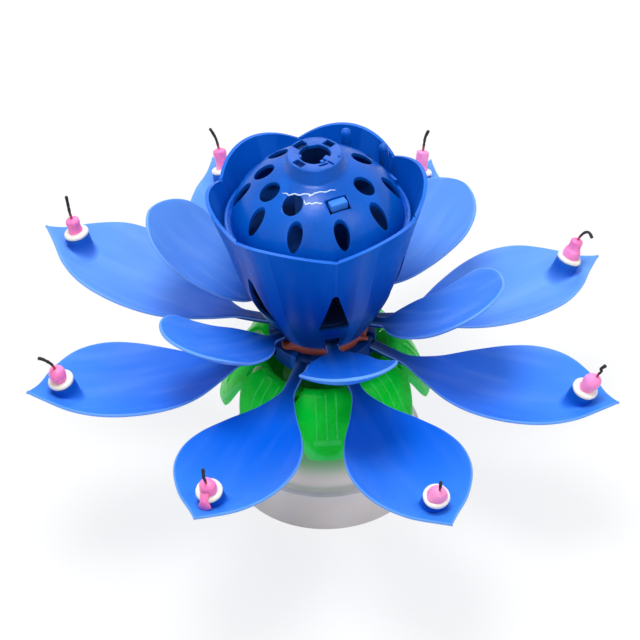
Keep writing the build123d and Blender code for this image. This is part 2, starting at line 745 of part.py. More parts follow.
with BuildPart() as battery_contacts:
    add(round_bar(cell_radius - holder_wall, plate_top + holder_floor, cells_bottom))
    add(round_bar(cell_radius - holder_wall, cells_top, cells_top + contact_thickness))
    add(round_bar(contact_thickness, cells_top + contact_thickness, board_bottom))
contacts_part = battery_contacts.part.moved(Location(holder_spot))
save(contacts_part, "battery_contacts")

with BuildPart() as music_board:
    add(round_bar(board_radius, board_bottom, board_top))
    with BuildSketch(level_plane(board_bottom, motor_azimuth)):
        with Locations((board_radius, 0)):
            Rectangle(board_radius / 4, board_radius / 2)
    extrude(amount=board_thickness, mode=Mode.SUBTRACT)
save(music_board.part, "music_board")

with BuildPart() as melody_chip:
    with BuildSketch(level_plane(board_top, holder_azimuth)):
        with Locations((-board_radius / 3, 0)):
            Rectangle(chip_length, chip_width)
    extrude(amount=chip_height)
    fillet(melody_chip.edges().group_by(Axis.Z)[-1], chip_height / 2)
save(melody_chip.part, "melody_chip")

with BuildPart() as sound_disc:
    add(round_bar(sound_disc_radius, cover_bottom - sound_disc_thickness, cover_bottom))
save(sound_disc.part, "sound_disc")

# Start switch: a plunger that a closed middle petal presses against two contact leaves
cup_face_radius = cup_radius_at(plunger_z)
plunger_tip = cup_face_radius + plunger_reach
leaf_circle = mechanism_post_circle - 2 * leaf_gap
plunger_end = leaf_circle + leaf_thickness / 2 + plunger_travel + fit_gap
collar_place = cup_face_radius - cup_wall - plunger_collar_thickness - hinge_gap - leaf_gap / 2
with BuildPart() as switch_plunger:
    with BuildSketch(facing_plane(plunger_azimuth, plunger_end, plunger_z)):
        Circle(plunger_radius)
    extrude(amount=plunger_tip - plunger_end)
    outwards = Axis(spot(0, 0), direction(plunger_azimuth))
    fillet(switch_plunger.edges().filter_by(GeomType.CIRCLE).sort_by(outwards)[-1], plunger_radius / 2)
    with BuildSketch(facing_plane(plunger_azimuth, collar_place, plunger_z)):
        Circle(plunger_collar_radius)
    extrude(amount=plunger_collar_thickness)
save(switch_plunger.part, "switch_plunger")

with BuildPart() as start_contacts:
    for place in (leaf_circle, leaf_circle - leaf_gap):
        with BuildSketch(facing_plane(plunger_azimuth, place - leaf_thickness / 2, cup_floor_top)):
            with Locations((0, (plunger_z - cup_floor_top) / 2 + leaf_width / 4)):
                Rectangle(leaf_width, plunger_z - cup_floor_top + leaf_width / 2)
        extrude(amount=leaf_thickness)
save(start_contacts.part, "start_contacts")

# Cover under the dome, with the latch arm that shows in the dome's window
latch_dome_z = flange_top + dome_height * sqrt(1 - (latch_circle / dome_radius) ** 2)
with BuildPart() as mechanism_cover:
    add(round_bar(cup_radius_at(cover_bottom) - cup_wall - cover_edge_gap, cover_bottom, cover_top))
    with BuildSketch(level_plane(cover_bottom, latch_azimuth)):
        with Locations((latch_circle, 0)):
            Rectangle(latch_arm_thickness, latch_block_length)
    extrude(amount=latch_dome_z - cover_bottom - 2 * dome_wall)
    with BuildSketch(level_plane(latch_dome_z - 3 * dome_wall, latch_azimuth)):
        with Locations((latch_circle, 0)):
            Rectangle(latch_block_width, latch_block_length)
    extrude(amount=3 * dome_wall + latch_rise)
save(mechanism_cover.part, "mechanism_cover")


# Seed pod: a pierced dome with a ring on top and two pegs on its flange
def dome_solid(radius, height):
    """Solid dome that stands on the flange top."""
    with BuildPart() as dome:
        with BuildSketch(Plane.XZ):
            with BuildLine():
                EllipticalCenterArc((0, flange_top), radius, height, start_angle=0, arc_size=90)
                Polyline((0, flange_top + height), (0, flange_top), (radius, flange_top))
            make_face()
        revolve(axis=Axis.Z)
    return dome.part


flange_radius = cup_radius_at(flange_top) - cup_wall - flange_edge_gap
with BuildPart() as seed_pod:
    add(dome_solid(dome_radius, dome_height))
    add(round_bar(flange_radius, cover_top, flange_top))
    with BuildSketch(Plane.XZ):
        with BuildLine():
            Polyline((0, ring_base_z - ring_height), (ring_base_radius, ring_base_z - ring_height),
                     (ring_base_radius, ring_base_z), (ring_top_radius, ring_top), (0, ring_top), close=True)
        make_face()
    revolve(axis=Axis.Z)
    fillet(seed_pod.faces().sort_by(Axis.Z)[-1].edges(), ring_wall / 4)
    for azimuth in peg_azimuths:
        peg_shoulder = flange_top + peg_height - peg_radius
        add(round_bar(peg_radius, flange_top - flange_thickness / 2, peg_shoulder, azimuth, peg_circle))
        with Locations(spot(azimuth, peg_circle, peg_shoulder)):
            Sphere(peg_radius)
    rim_top = flange_top + flange_rim_height
    add(ring_part(flange_radius, flange_radius - flange_rim_width, flange_top, rim_top))
    add(dome_solid(dome_radius - dome_wall, dome_height - dome_wall), mode=Mode.SUBTRACT)
    add(round_bar(dome_radius - dome_wall, cover_top, flange_top), mode=Mode.SUBTRACT)
    add(round_bar(ring_base_radius - ring_wall, ring_base_z - ring_height, ring_top - ring_plate_thickness),
        mode=Mode.SUBTRACT)
    add(round_bar(ring_opening_radius, ring_top - 2 * ring_plate_thickness, ring_top + overrun),
        mode=Mode.SUBTRACT)
    with BuildSketch(level_plane(ring_top - 2 * ring_plate_thickness, ring_slot_turn)):
        Rectangle(ring_slot_length, ring_slot_width)
        for turn in ring_window_turns:
            with Locations(spot(turn - ring_slot_turn, ring_window_circle)[:2]):
                Circle(ring_window_radius)
    extrude(amount=3 * ring_plate_thickness, mode=Mode.SUBTRACT)
    with BuildSketch(Plane.XY.offset(flange_top + dome_height / 8)):
        with PolarLocations(hole_lower_circle, hole_lower_count, start_angle=hole_lower_turn):
            Ellipse(hole_lower_length / 2, hole_lower_width / 2)
        for azimuth in hole_upper_azimuths:
            with Locations(spot(azimuth, hole_upper_circle)[:2]):
                Circle(hole_upper_radius)
    extrude(amount=dome_height, mode=Mode.SUBTRACT)
    with BuildSketch(level_plane(flange_top + dome_height / 2, latch_azimuth)):
        with Locations((latch_circle, 0)):
            Rectangle(latch_window_width, latch_window_length)
    extrude(amount=dome_height, mode=Mode.SUBTRACT)
save(seed_pod.part, "seed_pod")

# Socket for the fountain candle, inside the dome and under the ring
with BuildPart() as fountain_socket:
    add(round_bar(socket_radius, cover_top, socket_top))
    add(round_bar(socket_bore_radius, cover_top + socket_floor, socket_top + overrun), mode=Mode.SUBTRACT)
save(fountain_socket.part, "fountain_socket")


# Petals: a sheet curved both ways, cut to its outline, on a hinge barrel with pins
def curved_sheet(length, sag, cross_radius, below, above):
    """Sheet hollowed along and across, between two depths from its middle surface."""
    long_radius = (length * length / 4 + sag * sag) / (2 * sag)
    with BuildPart() as sheet:
        middle = Plane(origin=(length / 2, 0, -sag), x_dir=(0, 1, 0), z_dir=(1, 0, 0))
        with BuildSketch(middle):
            with Locations((0, cross_radius)):
                Circle(cross_radius + below)
                Circle(cross_radius - above, mode=Mode.SUBTRACT)
            with Locations((0, cross_radius + below)):
                Rectangle(4 * cross_radius, cross_radius + below, align=(Align.CENTER, Align.MIN),
                          mode=Mode.SUBTRACT)
        turn = 2 * degrees(asin(length / 2 / long_radius)) * 5 / 4
        hinge_line = Axis((length / 2, 0, long_radius - sag), (0, 1, 0))
        revolve(axis=hinge_line, revolution_arc=turn / 2)
        with BuildSketch(middle):
            with Locations((0, cross_radius)):
                Circle(cross_radius + below)
                Circle(cross_radius - above, mode=Mode.SUBTRACT)
            with Locations((0, cross_radius + below)):
                Rectangle(4 * cross_radius, cross_radius + below, align=(Align.CENTER, Align.MIN),
                          mode=Mode.SUBTRACT)
        revolve(axis=hinge_line, revolution_arc=-turn / 2)
    return sheet.part


def petal_outline(length, half_width, shares, pointed):
    """Outline of the blade in plan, from the hinge to the tip."""
    side = [(length * along, half_width * across) for along, across in shares]
    root = (length * stem_root_share, stem_width / 4)
    with BuildSketch() as outline:
        with BuildLine():
            for way in (1, -1):
                run = [(x, way * y) for x, y in [root] + side]
                if pointed:
                    Spline(*run, (length, 0))
                else:
                    Spline(*run, (length, 0), tangents=((1, 0), (0, -way)), tangent_scalars=(1, 1 / 2))
            Line(root, (root[0], -root[1]))
        make_face()
    return outline.sketch


def petal_part(length, half_width, sag, cross_radius, shares, pointed):
    """Blade, stem and hinge barrel of one petal, with the hinge axis on Y through the origin."""
    with BuildPart() as blade:
        with BuildSketch(Plane.XY.offset(-length)):
            add(petal_outline(length, half_width, shares, pointed))
        extrude(amount=2 * length)
        add(curved_sheet(length, sag, cross_radius, petal_thickness / 2, petal_thickness / 2),
            mode=Mode.INTERSECT)
    with BuildPart() as stem:
        with BuildSketch(Plane.XY.offset(-length)):
            with Locations((length * stem_root_share, 0)):
                Rectangle(length * (stem_length_share - stem_root_share), stem_width,
                          align=(Align.MIN, Align.CENTER))
            with Locations((length * stem_length_share, 0)):
                Circle(stem_width / 2)
        extrude(amount=2 * length)
        add(curved_sheet(length, sag, cross_radius, stem_thickness / 2, petal_thickness / 2),
            mode=Mode.INTERSECT)
    with BuildPart() as petal:
        add(blade.part)
        add(stem.part)
        with BuildSketch(Plane.XZ.offset(-barrel_width / 2)):
            Circle(barrel_radius)
        extrude(amount=barrel_width)
        with BuildSketch(Plane.XZ.offset(-pin_width / 2)):
            Circle(pin_radius)
        extrude(amount=pin_width)
    return petal.part


def petal_place(azimuth, circle, height, rise):
    """Where a petal's hinge frame stands at rest."""
    hinge = Location((0, 0, 0), (0, 0, azimuth)) * Location((circle, 0, height))
    return hinge * Location((0, 0, 0), (0, -rise, 0))


candle_x = outer_length * candle_place_share
candle_z = -4 * outer_sag * candle_place_share * (1 - candle_place_share)
candle_frame = Location((candle_x, 0, candle_z)) * Location((0, 0, 0), (0, candle_cup_tilt, 0))
candle_bore = candle_cup_radius - candle_cup_wall

with BuildPart() as candle_cup:
    add(round_bar(candle_cup_radius, -candle_cup_radius, candle_cup_height).moved(candle_frame))
    add(curved_sheet(outer_length, outer_sag, outer_cross_radius, 0, outer_sag + 2 * candle_cup_height),
        mode=Mode.INTERSECT)

with BuildPart() as outer_petal:
    add(petal_part(outer_length, outer_half_width, outer_sag, outer_cross_radius, outer_outline_shares, True))
    add(candle_cup.part)
    add(round_bar(candle_bore, candle_cup_height - seat_plug_length - fit_gap, candle_cup_height + overrun)
        .moved(candle_frame), mode=Mode.SUBTRACT)

with BuildPart() as candle_seat:
    add(round_bar(seat_radius, candle_cup_height, candle_cup_height + seat_thickness))
    fillet(candle_seat.edges().group_by(Axis.Z)[-1], seat_thickness / 3)
    add(round_bar(candle_bore - fit_gap, candle_cup_height - seat_plug_length, candle_cup_height))
    add(round_bar(candle_radius + fit_gap / 2, candle_cup_height + seat_thickness - candle_socket_depth,
                  candle_cup_height + seat_thickness + overrun), mode=Mode.SUBTRACT)

for index, azimuth in enumerate(outer_azimuths):
    place = petal_place(azimuth, outer_hinge_circle, outer_hinge_z, outer_rises[index])
    seat_top = candle_cup_height + seat_thickness
    stub_bottom = seat_top - candle_socket_depth
    stub_top = seat_top + candle_stub_heights[index]
    with BuildPart() as petal:
        add(outer_petal.part.moved(place))
    save(petal.part, f"outer_petal_{index + 1}")
    with BuildPart() as seat:
        add(candle_seat.part.moved(place * candle_frame))
    save(seat.part, f"candle_seat_{index + 1}")
    with BuildPart() as stub:
        add(round_bar(candle_radius, stub_bottom, stub_top))
        fillet(stub.edges().group_by(Axis.Z)[-1], candle_radius / 3)
        add(round_bar(wick_radius + fit_gap / 2, stub_top - wick_root, stub_top + overrun),
            mode=Mode.SUBTRACT)
    with BuildPart() as wick:
        lean = radians(candle_wick_leans[index])
        bend_z = stub_top + wick_length / 3
        upper = wick_length * 2 / 3
        with BuildLine() as wick_path:
            side = upper * sin(lean)
            rise = upper * cos(lean)
            FilletPolyline((0, 0, stub_top - wick_root + fit_gap), (0, 0, bend_z), (side, 0, bend_z + rise),
                           (side * 9 / 5, 0, bend_z + rise * 3 / 2), radius=wick_length / 5)
        with BuildSketch(Plane(origin=wick_path.line @ 0, z_dir=wick_path.line % 0)):
            Circle(wick_radius)
        sweep()
    with BuildPart() as candle:
        add(stub.part.moved(place * candle_frame))
        add(wick.part.moved(place * candle_frame))
    save(candle.part, f"candle_{index + 1}")

middle_petal = petal_part(middle_length, middle_half_width, middle_sag, middle_cross_radius,
                          middle_outline_shares, False)
for index, azimuth in enumerate(middle_azimuths):
    place = petal_place(azimuth, middle_hinge_circle, middle_hinge_z, middle_rises[index])
    with BuildPart() as petal:
        add(middle_petal.moved(place))
    save(petal.part, f"middle_petal_{index + 1}")
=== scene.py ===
"""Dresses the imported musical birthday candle: a blue lotus on a green calyx and a frosted foot.

Units are metres. The foot stands on z = 0, the turning axis is +Z and the camera side is -Y.
"""
from math import asin, cos, hypot, pi, radians, sin, sqrt

import bmesh
import bpy
from mathutils import Matrix, Vector, noise


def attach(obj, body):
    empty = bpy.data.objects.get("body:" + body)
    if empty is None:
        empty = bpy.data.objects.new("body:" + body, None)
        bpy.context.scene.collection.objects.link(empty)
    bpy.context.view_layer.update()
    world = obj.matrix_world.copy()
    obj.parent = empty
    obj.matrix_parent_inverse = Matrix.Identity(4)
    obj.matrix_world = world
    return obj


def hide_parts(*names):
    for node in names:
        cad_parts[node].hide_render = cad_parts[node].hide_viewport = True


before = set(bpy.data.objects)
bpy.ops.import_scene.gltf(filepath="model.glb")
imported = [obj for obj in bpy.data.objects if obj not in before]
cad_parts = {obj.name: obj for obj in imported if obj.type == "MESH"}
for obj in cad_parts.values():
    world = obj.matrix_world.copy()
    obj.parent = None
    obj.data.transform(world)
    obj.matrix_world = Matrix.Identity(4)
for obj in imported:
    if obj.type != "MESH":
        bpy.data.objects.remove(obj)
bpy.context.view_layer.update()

MM = 0.001

# Camera, fitted to the photograph
CAMERA_DISTANCE = 950 * MM
CAMERA_ELEVATION = radians(41.06)
CAMERA_ROLL = radians(2.52)
CAMERA_TARGET = Vector((0, 0, 70 * MM))
CAMERA_LENS = 149.57
PICTURE_SIZE = 640
OPTICAL_CENTRE = (322.1, 319.5)

# Soft boxes: name, place in metres, side of the square in metres and power in watts
SOFT_BOXES = (
    ("soft_box_over", (-0.08, -0.06, 1.0), 0.36, 6.0),
    ("soft_box_left", (-0.45, -0.6, 0.8), 0.5, 1.1),
    ("soft_box_right", (0.55, -0.35, 0.8), 0.4, 1.9),
    ("soft_box_back", (0.0, 0.8, 0.8), 0.6, 3.0),
)

# Petals, as in the part: sizes of the blades and where their hinges stand
OUTER = {
    "count": 8, "turn": -114.0, "circle": 17.2 * MM, "height": 65.0 * MM,
    "length": 94.0 * MM, "half_width": 20.4 * MM, "sag": 8.5 * MM, "cross_radius": 38.0 * MM,
    "rises": (5.5, 2.0, 0.3, -2.5, -2.0, 0.5, 11.0, 7.5), "pointed": True,
    "outline": ((0.16, 0.13), (0.25, 0.34), (0.38, 0.7), (0.5, 0.92), (0.62, 1.0), (0.74, 0.91),
                (0.86, 0.58), (0.94, 0.21)),
}
MIDDLE = {
    "count": 6, "turn": -81.0, "circle": 15.9 * MM, "height": 73.8 * MM,
    "length": 57.6 * MM, "half_width": 16.8 * MM, "sag": 6.3 * MM, "cross_radius": 32.0 * MM,
    "rises": (28.0, 28.0, 22.0, 28.0, 33.5, 27.5), "pointed": False,
    "outline": ((0.12, 0.14), (0.18, 0.36), (0.28, 0.6), (0.42, 0.77), (0.57, 0.92), (0.72, 1.0),
                (0.86, 0.82), (0.96, 0.42)),
}
BLADE_THICKNESS = 1.2 * MM
# Keeps a blade's leaning end face inside the part's box
TIP_GAP = 0.3 * MM
# Distance from the edge over which the mark of a blade's rim, which places its painted edge highlight, runs
# from 0 to 1
RIM_REACH = 4 * BLADE_THICKNESS
# Soft fold down the middle of a blade: its depth, and how far out it has dropped to 1 / FOLD_FALL
FOLD_DEPTH = 0.45 * MM
FOLD_REACH = 2.4 * MM
FOLD_FALL = 2.718
# Flutes beside the fold: their depth, and half waves from the middle to the edge
FLUTE_DEPTH = 0.16 * MM
FLUTE_WAVES = 3.6
STEM_WIDTH = 4.6 * MM
STEM_THICKNESS = 2.2 * MM
STEM_CORNER = 0.35 * MM
STEM_ROOT_SHARE = 0.012
STEM_END_SHARE = 0.24
STEM_TIP_THICKNESS = 0.2 * MM
STEM_TIP_WIDTH_SHARE = 0.35
# Least half width, or a gap too small to see
HAIR = 0.02 * MM
# Hinge barrel and pin of a petal: radius and width
HINGE_ROUNDS = ((1.6 * MM, 4.6 * MM), (1.0 * MM, 7.4 * MM))
HINGE_RIM = 0.2 * MM

# Candle cup and seat on each outer petal
CANDLE_SHARE = 0.835
CANDLE_TILT = radians(22.0)
CANDLE_CUP_RADIUS = 4.5 * MM
CANDLE_CUP_HEIGHT = 7.0 * MM
CANDLE_CUP_WALL = 1.0 * MM
# Rows of the cup's outer face from its mouth down: radius and height in mm, and how far each row
# drapes onto the blade
CANDLE_CUP_ROWS = ((4.15, 7.0, 0.0), (4.4, 6.8, 0.0), (4.45, 5.6, 0.0), (4.5, 4.2, 0.05), (4.6, 3.0, 0.2),
                   (4.75, 2.0, 0.45), (5.05, 1.1, 0.75), (5.6, 0.45, 0.95), (6.4, 0.12, 1.0),
                   (7.4, -0.1, 1.0))
SEAT_RADIUS = 4.6 * MM
SEAT_THICKNESS = 1.6 * MM

# Form of each wax stub: radius and height in mm from its seat up, and how far its top leans
STUBS = (
    {"lean": (0.2, 0.0),
     "form": ((2.9, -0.4), (3.0, 0.4), (2.8, 1.4), (2.8, 2.6), (2.5, 3.6), (1.7, 4.2), (0.8, 4.4))},
    {"lean": (0.2, 0.3),
     "form": ((3.5, -0.3), (3.5, 0.4), (3.2, 1.2), (2.8, 2.2), (2.3, 3.2), (1.5, 3.8), (0.7, 4.0))},
    {"lean": (1.2, 0.3),
     "form": ((2.6, -0.4), (2.7, 0.8), (2.9, 2.4), (3.0, 3.8), (2.6, 5.2), (1.7, 6.2), (0.7, 6.5))},
    {"lean": (0.0, 0.2),
     "form": ((3.2, -0.4), (3.2, 1.1), (2.9, 2.8), (2.5, 3.5), (2.3, 5.0), (2.3, 6.8), (1.6, 7.3))},
    {"lean": (0.0, 0.0),
     "form": ((2.9, -0.4), (2.6, 0.8), (2.5, 3.6), (2.4, 6.0), (2.3, 7.0), (1.7, 7.4), (0.7, 7.5))},
    {"lean": (-0.4, 0.3),
     "form": ((2.8, -0.4), (2.5, 0.8), (2.4, 3.6), (2.5, 6.2), (2.4, 7.2), (1.6, 7.7), (0.7, 7.8))},
    {"lean": (0.0, 0.0),
     "form": ((2.7, -0.4), (2.5, 0.7), (2.4, 2.4), (2.6, 4.2), (2.5, 5.0), (1.8, 5.5), (0.8, 5.6))},
    {"lean": (0.0, 0.5),
     "form": ((2.5, -0.4), (2.8, 0.7), (3.1, 2.2), (3.0, 3.6), (2.5, 4.8), (1.6, 5.5), (0.8, 5.7))},
)
# How much a stub's radius drifts, how far on in the drift each next one starts, how much a seat's
# radius drifts, and the size of the drift round and up the form
STUB_WOBBLE = 0.16
STUB_WOBBLE_STEP = 3.1
SEAT_WOBBLE = 0.02
WOBBLE_ROUND = 1.3
WOBBLE_HEIGHT = 4 * MM
# Path of each wick above its stub in mm, in the candle's frame: across is -Y, outward is +X
WICKS = (
    ((0, 0, -2), (0, 0, 1.5), (0.2, 0.1, 4.4), (-0.6, 0.3, 8.4)),
    ((0, 0, -2), (0, 0, 1.2), (-0.3, 0.0, 2.8), (-0.8, 0.2, 4.4)),
    ((0, 0, -2), (0.0, 0.0, 1.5), (0.3, -0.2, 3.6), (-0.3, -0.4, 4.8), (0.5, -0.3, 7.2)),
    ((0, 0, -2), (0, -0.3, 1.5), (0.2, -1.6, 4.4), (0.4, -3.6, 5.6), (0.6, -6.0, 5.0)),
    ((0, 0, -2), (0, 0, 2.2), (0.2, -0.1, 5.4), (0.4, -1.0, 8.2)),
    ((0, 0, -2), (0, 0.1, 2.2), (0.2, 0.5, 5.0), (0.2, 1.9, 8.8)),
    ((0, 0, -2), (-0.1, 0.2, 2.5), (-0.7, 0.4, 7.0), (-1.5, 1.0, 10.8)),
    ((0, 0, -2), (0.2, 0.3, 1.8), (0.9, 0.8, 4.6), (2.4, 0.6, 7.2), (3.6, 0.4, 8.2)),
)
# Wick in mm: radius at its root, what its charred end gains, and its lumps. Then the size of a lump
# and the share of the radius that its cut end keeps
WICK_RADIUS = 0.42
WICK_GAIN = 0.2
WICK_LUMP = 0.14
WICK_LUMP_SIZE = 0.9 * MM
WICK_END_SHARE = 0.55
# Path of the wax that ran down the outer side of the first candle, in mm from its seat's top
DRIP = ((1.0, 0.0, 1.6), (3.4, 0.1, 0.9), (4.7, 0.3, 0.2), (5.1, 0.4, -0.9), (5.3, 0.4, -2.4),
        (5.4, 0.4, -3.9))
DRIP_RADIUS = 0.95 * MM
DRIP_WIDTH_SHARE = 1.9
# Place along the run where its hanging bulb is thickest, and how much it swells
DRIP_BULB_SHARE = 0.85
DRIP_SWELL = 0.25

# Calyx, as in the part, with the radius and height shares of its upper face, from its inner edge over
# the crest to the leaf tips
CALYX_RADIUS = 38.5 * MM
CALYX_BOTTOM = 43.5 * MM
CALYX_CREST = 14.5 * MM
CALYX_PROFILE_SHARES = ((0.48, 0.48), (0.565, 0.88), (0.655, 1.0), (0.775, 0.81), (0.9, 0.28),
                        (1.0, -0.45))
CALYX_LEAVES = 8
# Distance between the ridge lines on a leaf, and how far out from the axis they end
RIDGE_STEP = 3.6 * MM
RIDGE_END = 36.2 * MM
RIDGE_RADIUS = 0.25 * MM
RIDGE_WIDTH_SHARE = 1.6
RIDGE_LIFT = 0.12 * MM
# Distance out to the middle of the round tip of a leaf
LEAF_TIP_CENTRE = 25.5 * MM

# Rubber band: circle and height of its middle, half sizes of its section, and how it waves
BAND_RADIUS = 16.05 * MM
BAND_HEIGHT = 69.35 * MM
BAND_HALF_WIDTH = 1.95 * MM
BAND_HALF_THICKNESS = 0.62 * MM
BAND_CORNER = 0.3 * MM
BAND_WAVE_OUT = 0.1 * MM
BAND_WAVE_UP = 0.25 * MM
# Where the band flips over, in degrees round from the camera side, over how many degrees, and its lift
BAND_FLIPS = ((42, 26), (300, 24))
BAND_FLIP_LIFT = 1.35 * MM

# Seed pod, as in the part, levels from the floor
POD_FLANGE_TOP = 117.1 * MM
POD_FLANGE_BOTTOM = 115.9 * MM
DOME_RADIUS = 30.0 * MM
DOME_HEIGHT = 23.2 * MM
DOME_WALL = 1.3 * MM
RING_BASE_RADIUS = 10.3 * MM
RING_TOP_RADIUS = 9.6 * MM
RING_BASE = POD_FLANGE_TOP + DOME_HEIGHT * sqrt(1 - (RING_BASE_RADIUS / DOME_RADIUS) ** 2)
RING_TOP = RING_BASE + 5.6 * MM
RING_OPENING = 5.4 * MM
RING_WALL = 1.2 * MM
# Lip of the flange: how far in from the flange's edge and up from its top, in mm
FLANGE_LIP = ((0.0, 1.0), (0.2, 1.2), (1.0, 1.2), (1.2, 1.0), (1.3, 0.1))
# Bead at the dome's foot: how far out from the dome and up from the flange, in mm
FOOT_BEAD = ((1.6, 0.0), (1.5, 0.7), (0.9, 0.8), (0.7, 0.1), (0.25, 0.25))
# Corners of the ring from the dome in: their radius and level, and the step out and up from there in mm
RING_CORNERS = (
    (RING_BASE_RADIUS, RING_BASE, 0.35, -0.02), (RING_BASE_RADIUS, RING_BASE, 0.0, 0.35),
    (RING_TOP_RADIUS, RING_TOP, 0.05, -0.5), (RING_TOP_RADIUS, RING_TOP, -0.12, -0.12),
    (RING_TOP_RADIUS, RING_TOP, -0.5, 0.0), (RING_OPENING, RING_TOP, 0.2, 0.0),
    (RING_OPENING, RING_TOP, 0.0, -0.2), (RING_OPENING, RING_TOP, 0.0, -1.4),
    (RING_BASE_RADIUS, RING_TOP, -1.2, -1.4),
)
# Openings of the ring plate: azimuth in degrees, distance out, length along and width across, in mm
RING_WINDOWS = ((132.0, 7.2, 3.4, 4.6), (222.0, 7.3, 2.6, 4.2), (48.0, 7.3, 3.0, 3.8),
                (-45.0, 7.4, 3.0, 0.8), (-66.0, 6.8, 0.9, 3.2))
# Blocks on the ring plate, with their bottom and top from its face, in mm
RING_BLOCKS = ((-28.0, 4.7, 2.4, 2.4, -1.2, -0.1), (-62.0, 5.1, 1.6, 1.2, -1.2, 0.3),
               (98.0, 5.3, 1.5, 3.6, -1.2, 0.25), (186.0, 5.2, 1.2, 1.6, -1.2, -0.1),
               (-8.0, 8.4, 1.0, 2.2, -0.4, 0.35))
# Ring of ten oval holes low on the dome: distance out, half sizes and azimuth of the first
LOW_HOLES_OUT = 25.5 * MM
LOW_HOLE_HALF_LENGTH = 3.25 * MM
LOW_HOLE_HALF_WIDTH = 2.65 * MM
LOW_HOLES_COUNT = 10
LOW_HOLES_TURN = -72
# Levels between which the low holes are cut, and the high holes with the latch window
LOW_CUT = (POD_FLANGE_TOP + 2.9 * MM, RING_TOP - 4 * MM)
HIGH_CUT = (POD_FLANGE_TOP + 9 * MM, RING_TOP + 3 * MM)
# Levels between which the ring plate is opened
PLATE_CUT = (RING_TOP - 3 * MM, RING_TOP + 1 * MM)
# Round holes high on the dome
HIGH_HOLES_OUT = 17.8 * MM
HIGH_HOLE_RADIUS = 3.6 * MM
HIGH_HOLE_AZIMUTHS = (-117.6, -152.5, 171.0, 135.0, -24.4, 26.0)
# Window of the latch in the dome and the pad that shows in it: along and across, and the pad's height
# and how far it stands above the dome's outer line
LATCH_AZIMUTH = -67
LATCH_OUT = 18 * MM
LATCH_WINDOW = (4.6 * MM, 7.8 * MM)
LATCH_PAD = (3.2 * MM, 6.2 * MM)
LATCH_PAD_HEIGHT = 3 * MM
LATCH_PAD_STAND = 1.1 * MM
# Pegs at the dome's rear: their azimuths and distance out, then in mm their height and the radii of
# their tops with the distance down from the top
PEG_AZIMUTHS = (68.0, 37.0)
PEG_OUT = 29.9 * MM
PEG_HEIGHT = 16.5
PEG_TOP = ((1.75, 1.75), (1.63, 1.1), (1.3, 0.55), (0.8, 0.15), (0.3, 0.01))
# Rib beside the second peg: along, across and height, and its place
RIB_SIZE = (0.9 * MM, 5.0 * MM)
RIB_HEIGHT = 4.0 * MM
RIB_AZIMUTH = 30.5
RIB_OUT = 31.0 * MM
# Painted glints on the dome, as white jagged marks: azimuth and distance out of each of their corners, in
# degrees and mm
PAINTED_GLINTS = (
    ((-137.0, 15.9), (-131.0, 15.3), (-127.0, 15.6), (-121.0, 14.4), (-114.0, 14.5), (-108.0, 13.7),
     (-101.0, 13.6), (-98.0, 14.1), (-93.0, 13.2), (-84.0, 12.8), (-76.0, 13.2), (-68.0, 12.9),
     (-58.0, 13.8)),
    ((-99.0, 13.9), (-101.0, 14.8)),
    ((-106.0, 15.7), (-103.0, 17.3), (-99.0, 16.6), (-96.0, 17.0), (-91.0, 16.5), (-86.0, 16.9),
     (-83.0, 16.7)),
)
PAINTED_GLINT_RADIUS = 0.26 * MM


def linear(code):
    """Linear colour of an sRGB hex code."""
    shares = [int(code[place:place + 2], 16) / 255 for place in (1, 3, 5)]
    return tuple(s / 12.92 if s <= 0.04045 else ((s + 0.055) / 1.055) ** 2.4 for s in shares) + (1.0,)


def add_node(tree, kind, inputs=(), **settings):
    """Adds a node with its settings. Its inputs, by name or in order, are values, hex colours or links."""
    made = tree.nodes.new(kind)
    for option, value in settings.items():
        setattr(made, option, value)
    named = inputs if isinstance(inputs, dict) else dict(enumerate(inputs))
    for socket, value in named.items():
        if isinstance(value, bpy.types.Node):
            value = value.outputs[0]
        if isinstance(value, bpy.types.NodeSocket):
            tree.links.new(value, made.inputs[socket])
        else:
            made.inputs[socket].default_value = linear(value) if isinstance(value, str) else value
    return made


def new_material(name):
    """Empty node material with its node tree."""
    material = bpy.data.materials.new(name)
    material.use_nodes = True
    material.node_tree.nodes.clear()
    return material, material.node_tree


def close_material(tree, traits):
    """Gives a material its shader with these traits, and its output."""
    shader = add_node(tree, "ShaderNodeBsdfPrincipled", traits)
    add_node(tree, "ShaderNodeOutputMaterial", (shader,))


def object_axes(tree):
    """X, Y and Z of the surface in Object coordinates."""
    place = add_node(tree, "ShaderNodeTexCoord").outputs["Object"]
    return add_node(tree, "ShaderNodeSeparateXYZ", (place,)).outputs[:3]


def patches(tree, size, squeeze=(1, 1, 1), detail=2.0):
    """Noise with patches about as large as size, squeezed along the axes."""
    place = add_node(tree, "ShaderNodeTexCoord").outputs["Object"]
    placed = add_node(tree, "ShaderNodeMapping", {"Vector": place, "Scale": squeeze})
    return add_node(tree, "ShaderNodeTexNoise", {"Vector": placed, "Scale": 1 / size, "Detail": detail})


def share_of(tree, amount, *edges):
    """An amount times the smooth step of each edge.

    An edge is a value, where its step starts and ends, and what the step gives there if not 0 and 1.
    """
    share = amount
    for edge in edges:
        step = add_node(tree, "ShaderNodeMapRange", edge, interpolation_type="SMOOTHSTEP")
        share = add_node(tree, "ShaderNodeMath", (step, share), operation="MULTIPLY")
    return share


def tinted(tree, tone, colour, amount, *edges):
    """A tone drawn toward a colour by an amount, where the value of each edge has passed its limits."""
    share = share_of(tree, amount, *edges)
    mixed = add_node(tree, "ShaderNodeMix", {0: share, 6: tone, 7: colour}, data_type="RGBA")
    return mixed.outputs[2]


def drifting(tree, size, first, second):
    """Colour that drifts between two in patches."""
    return tinted(tree, first, second, 1.0, (patches(tree, size), 0.35, 0.65))


def uneven(tree, size, low, high):
    """Roughness that drifts between two limits in patches."""
    return share_of(tree, 1.0, (patches(tree, size), 0.3, 0.7, low, high))


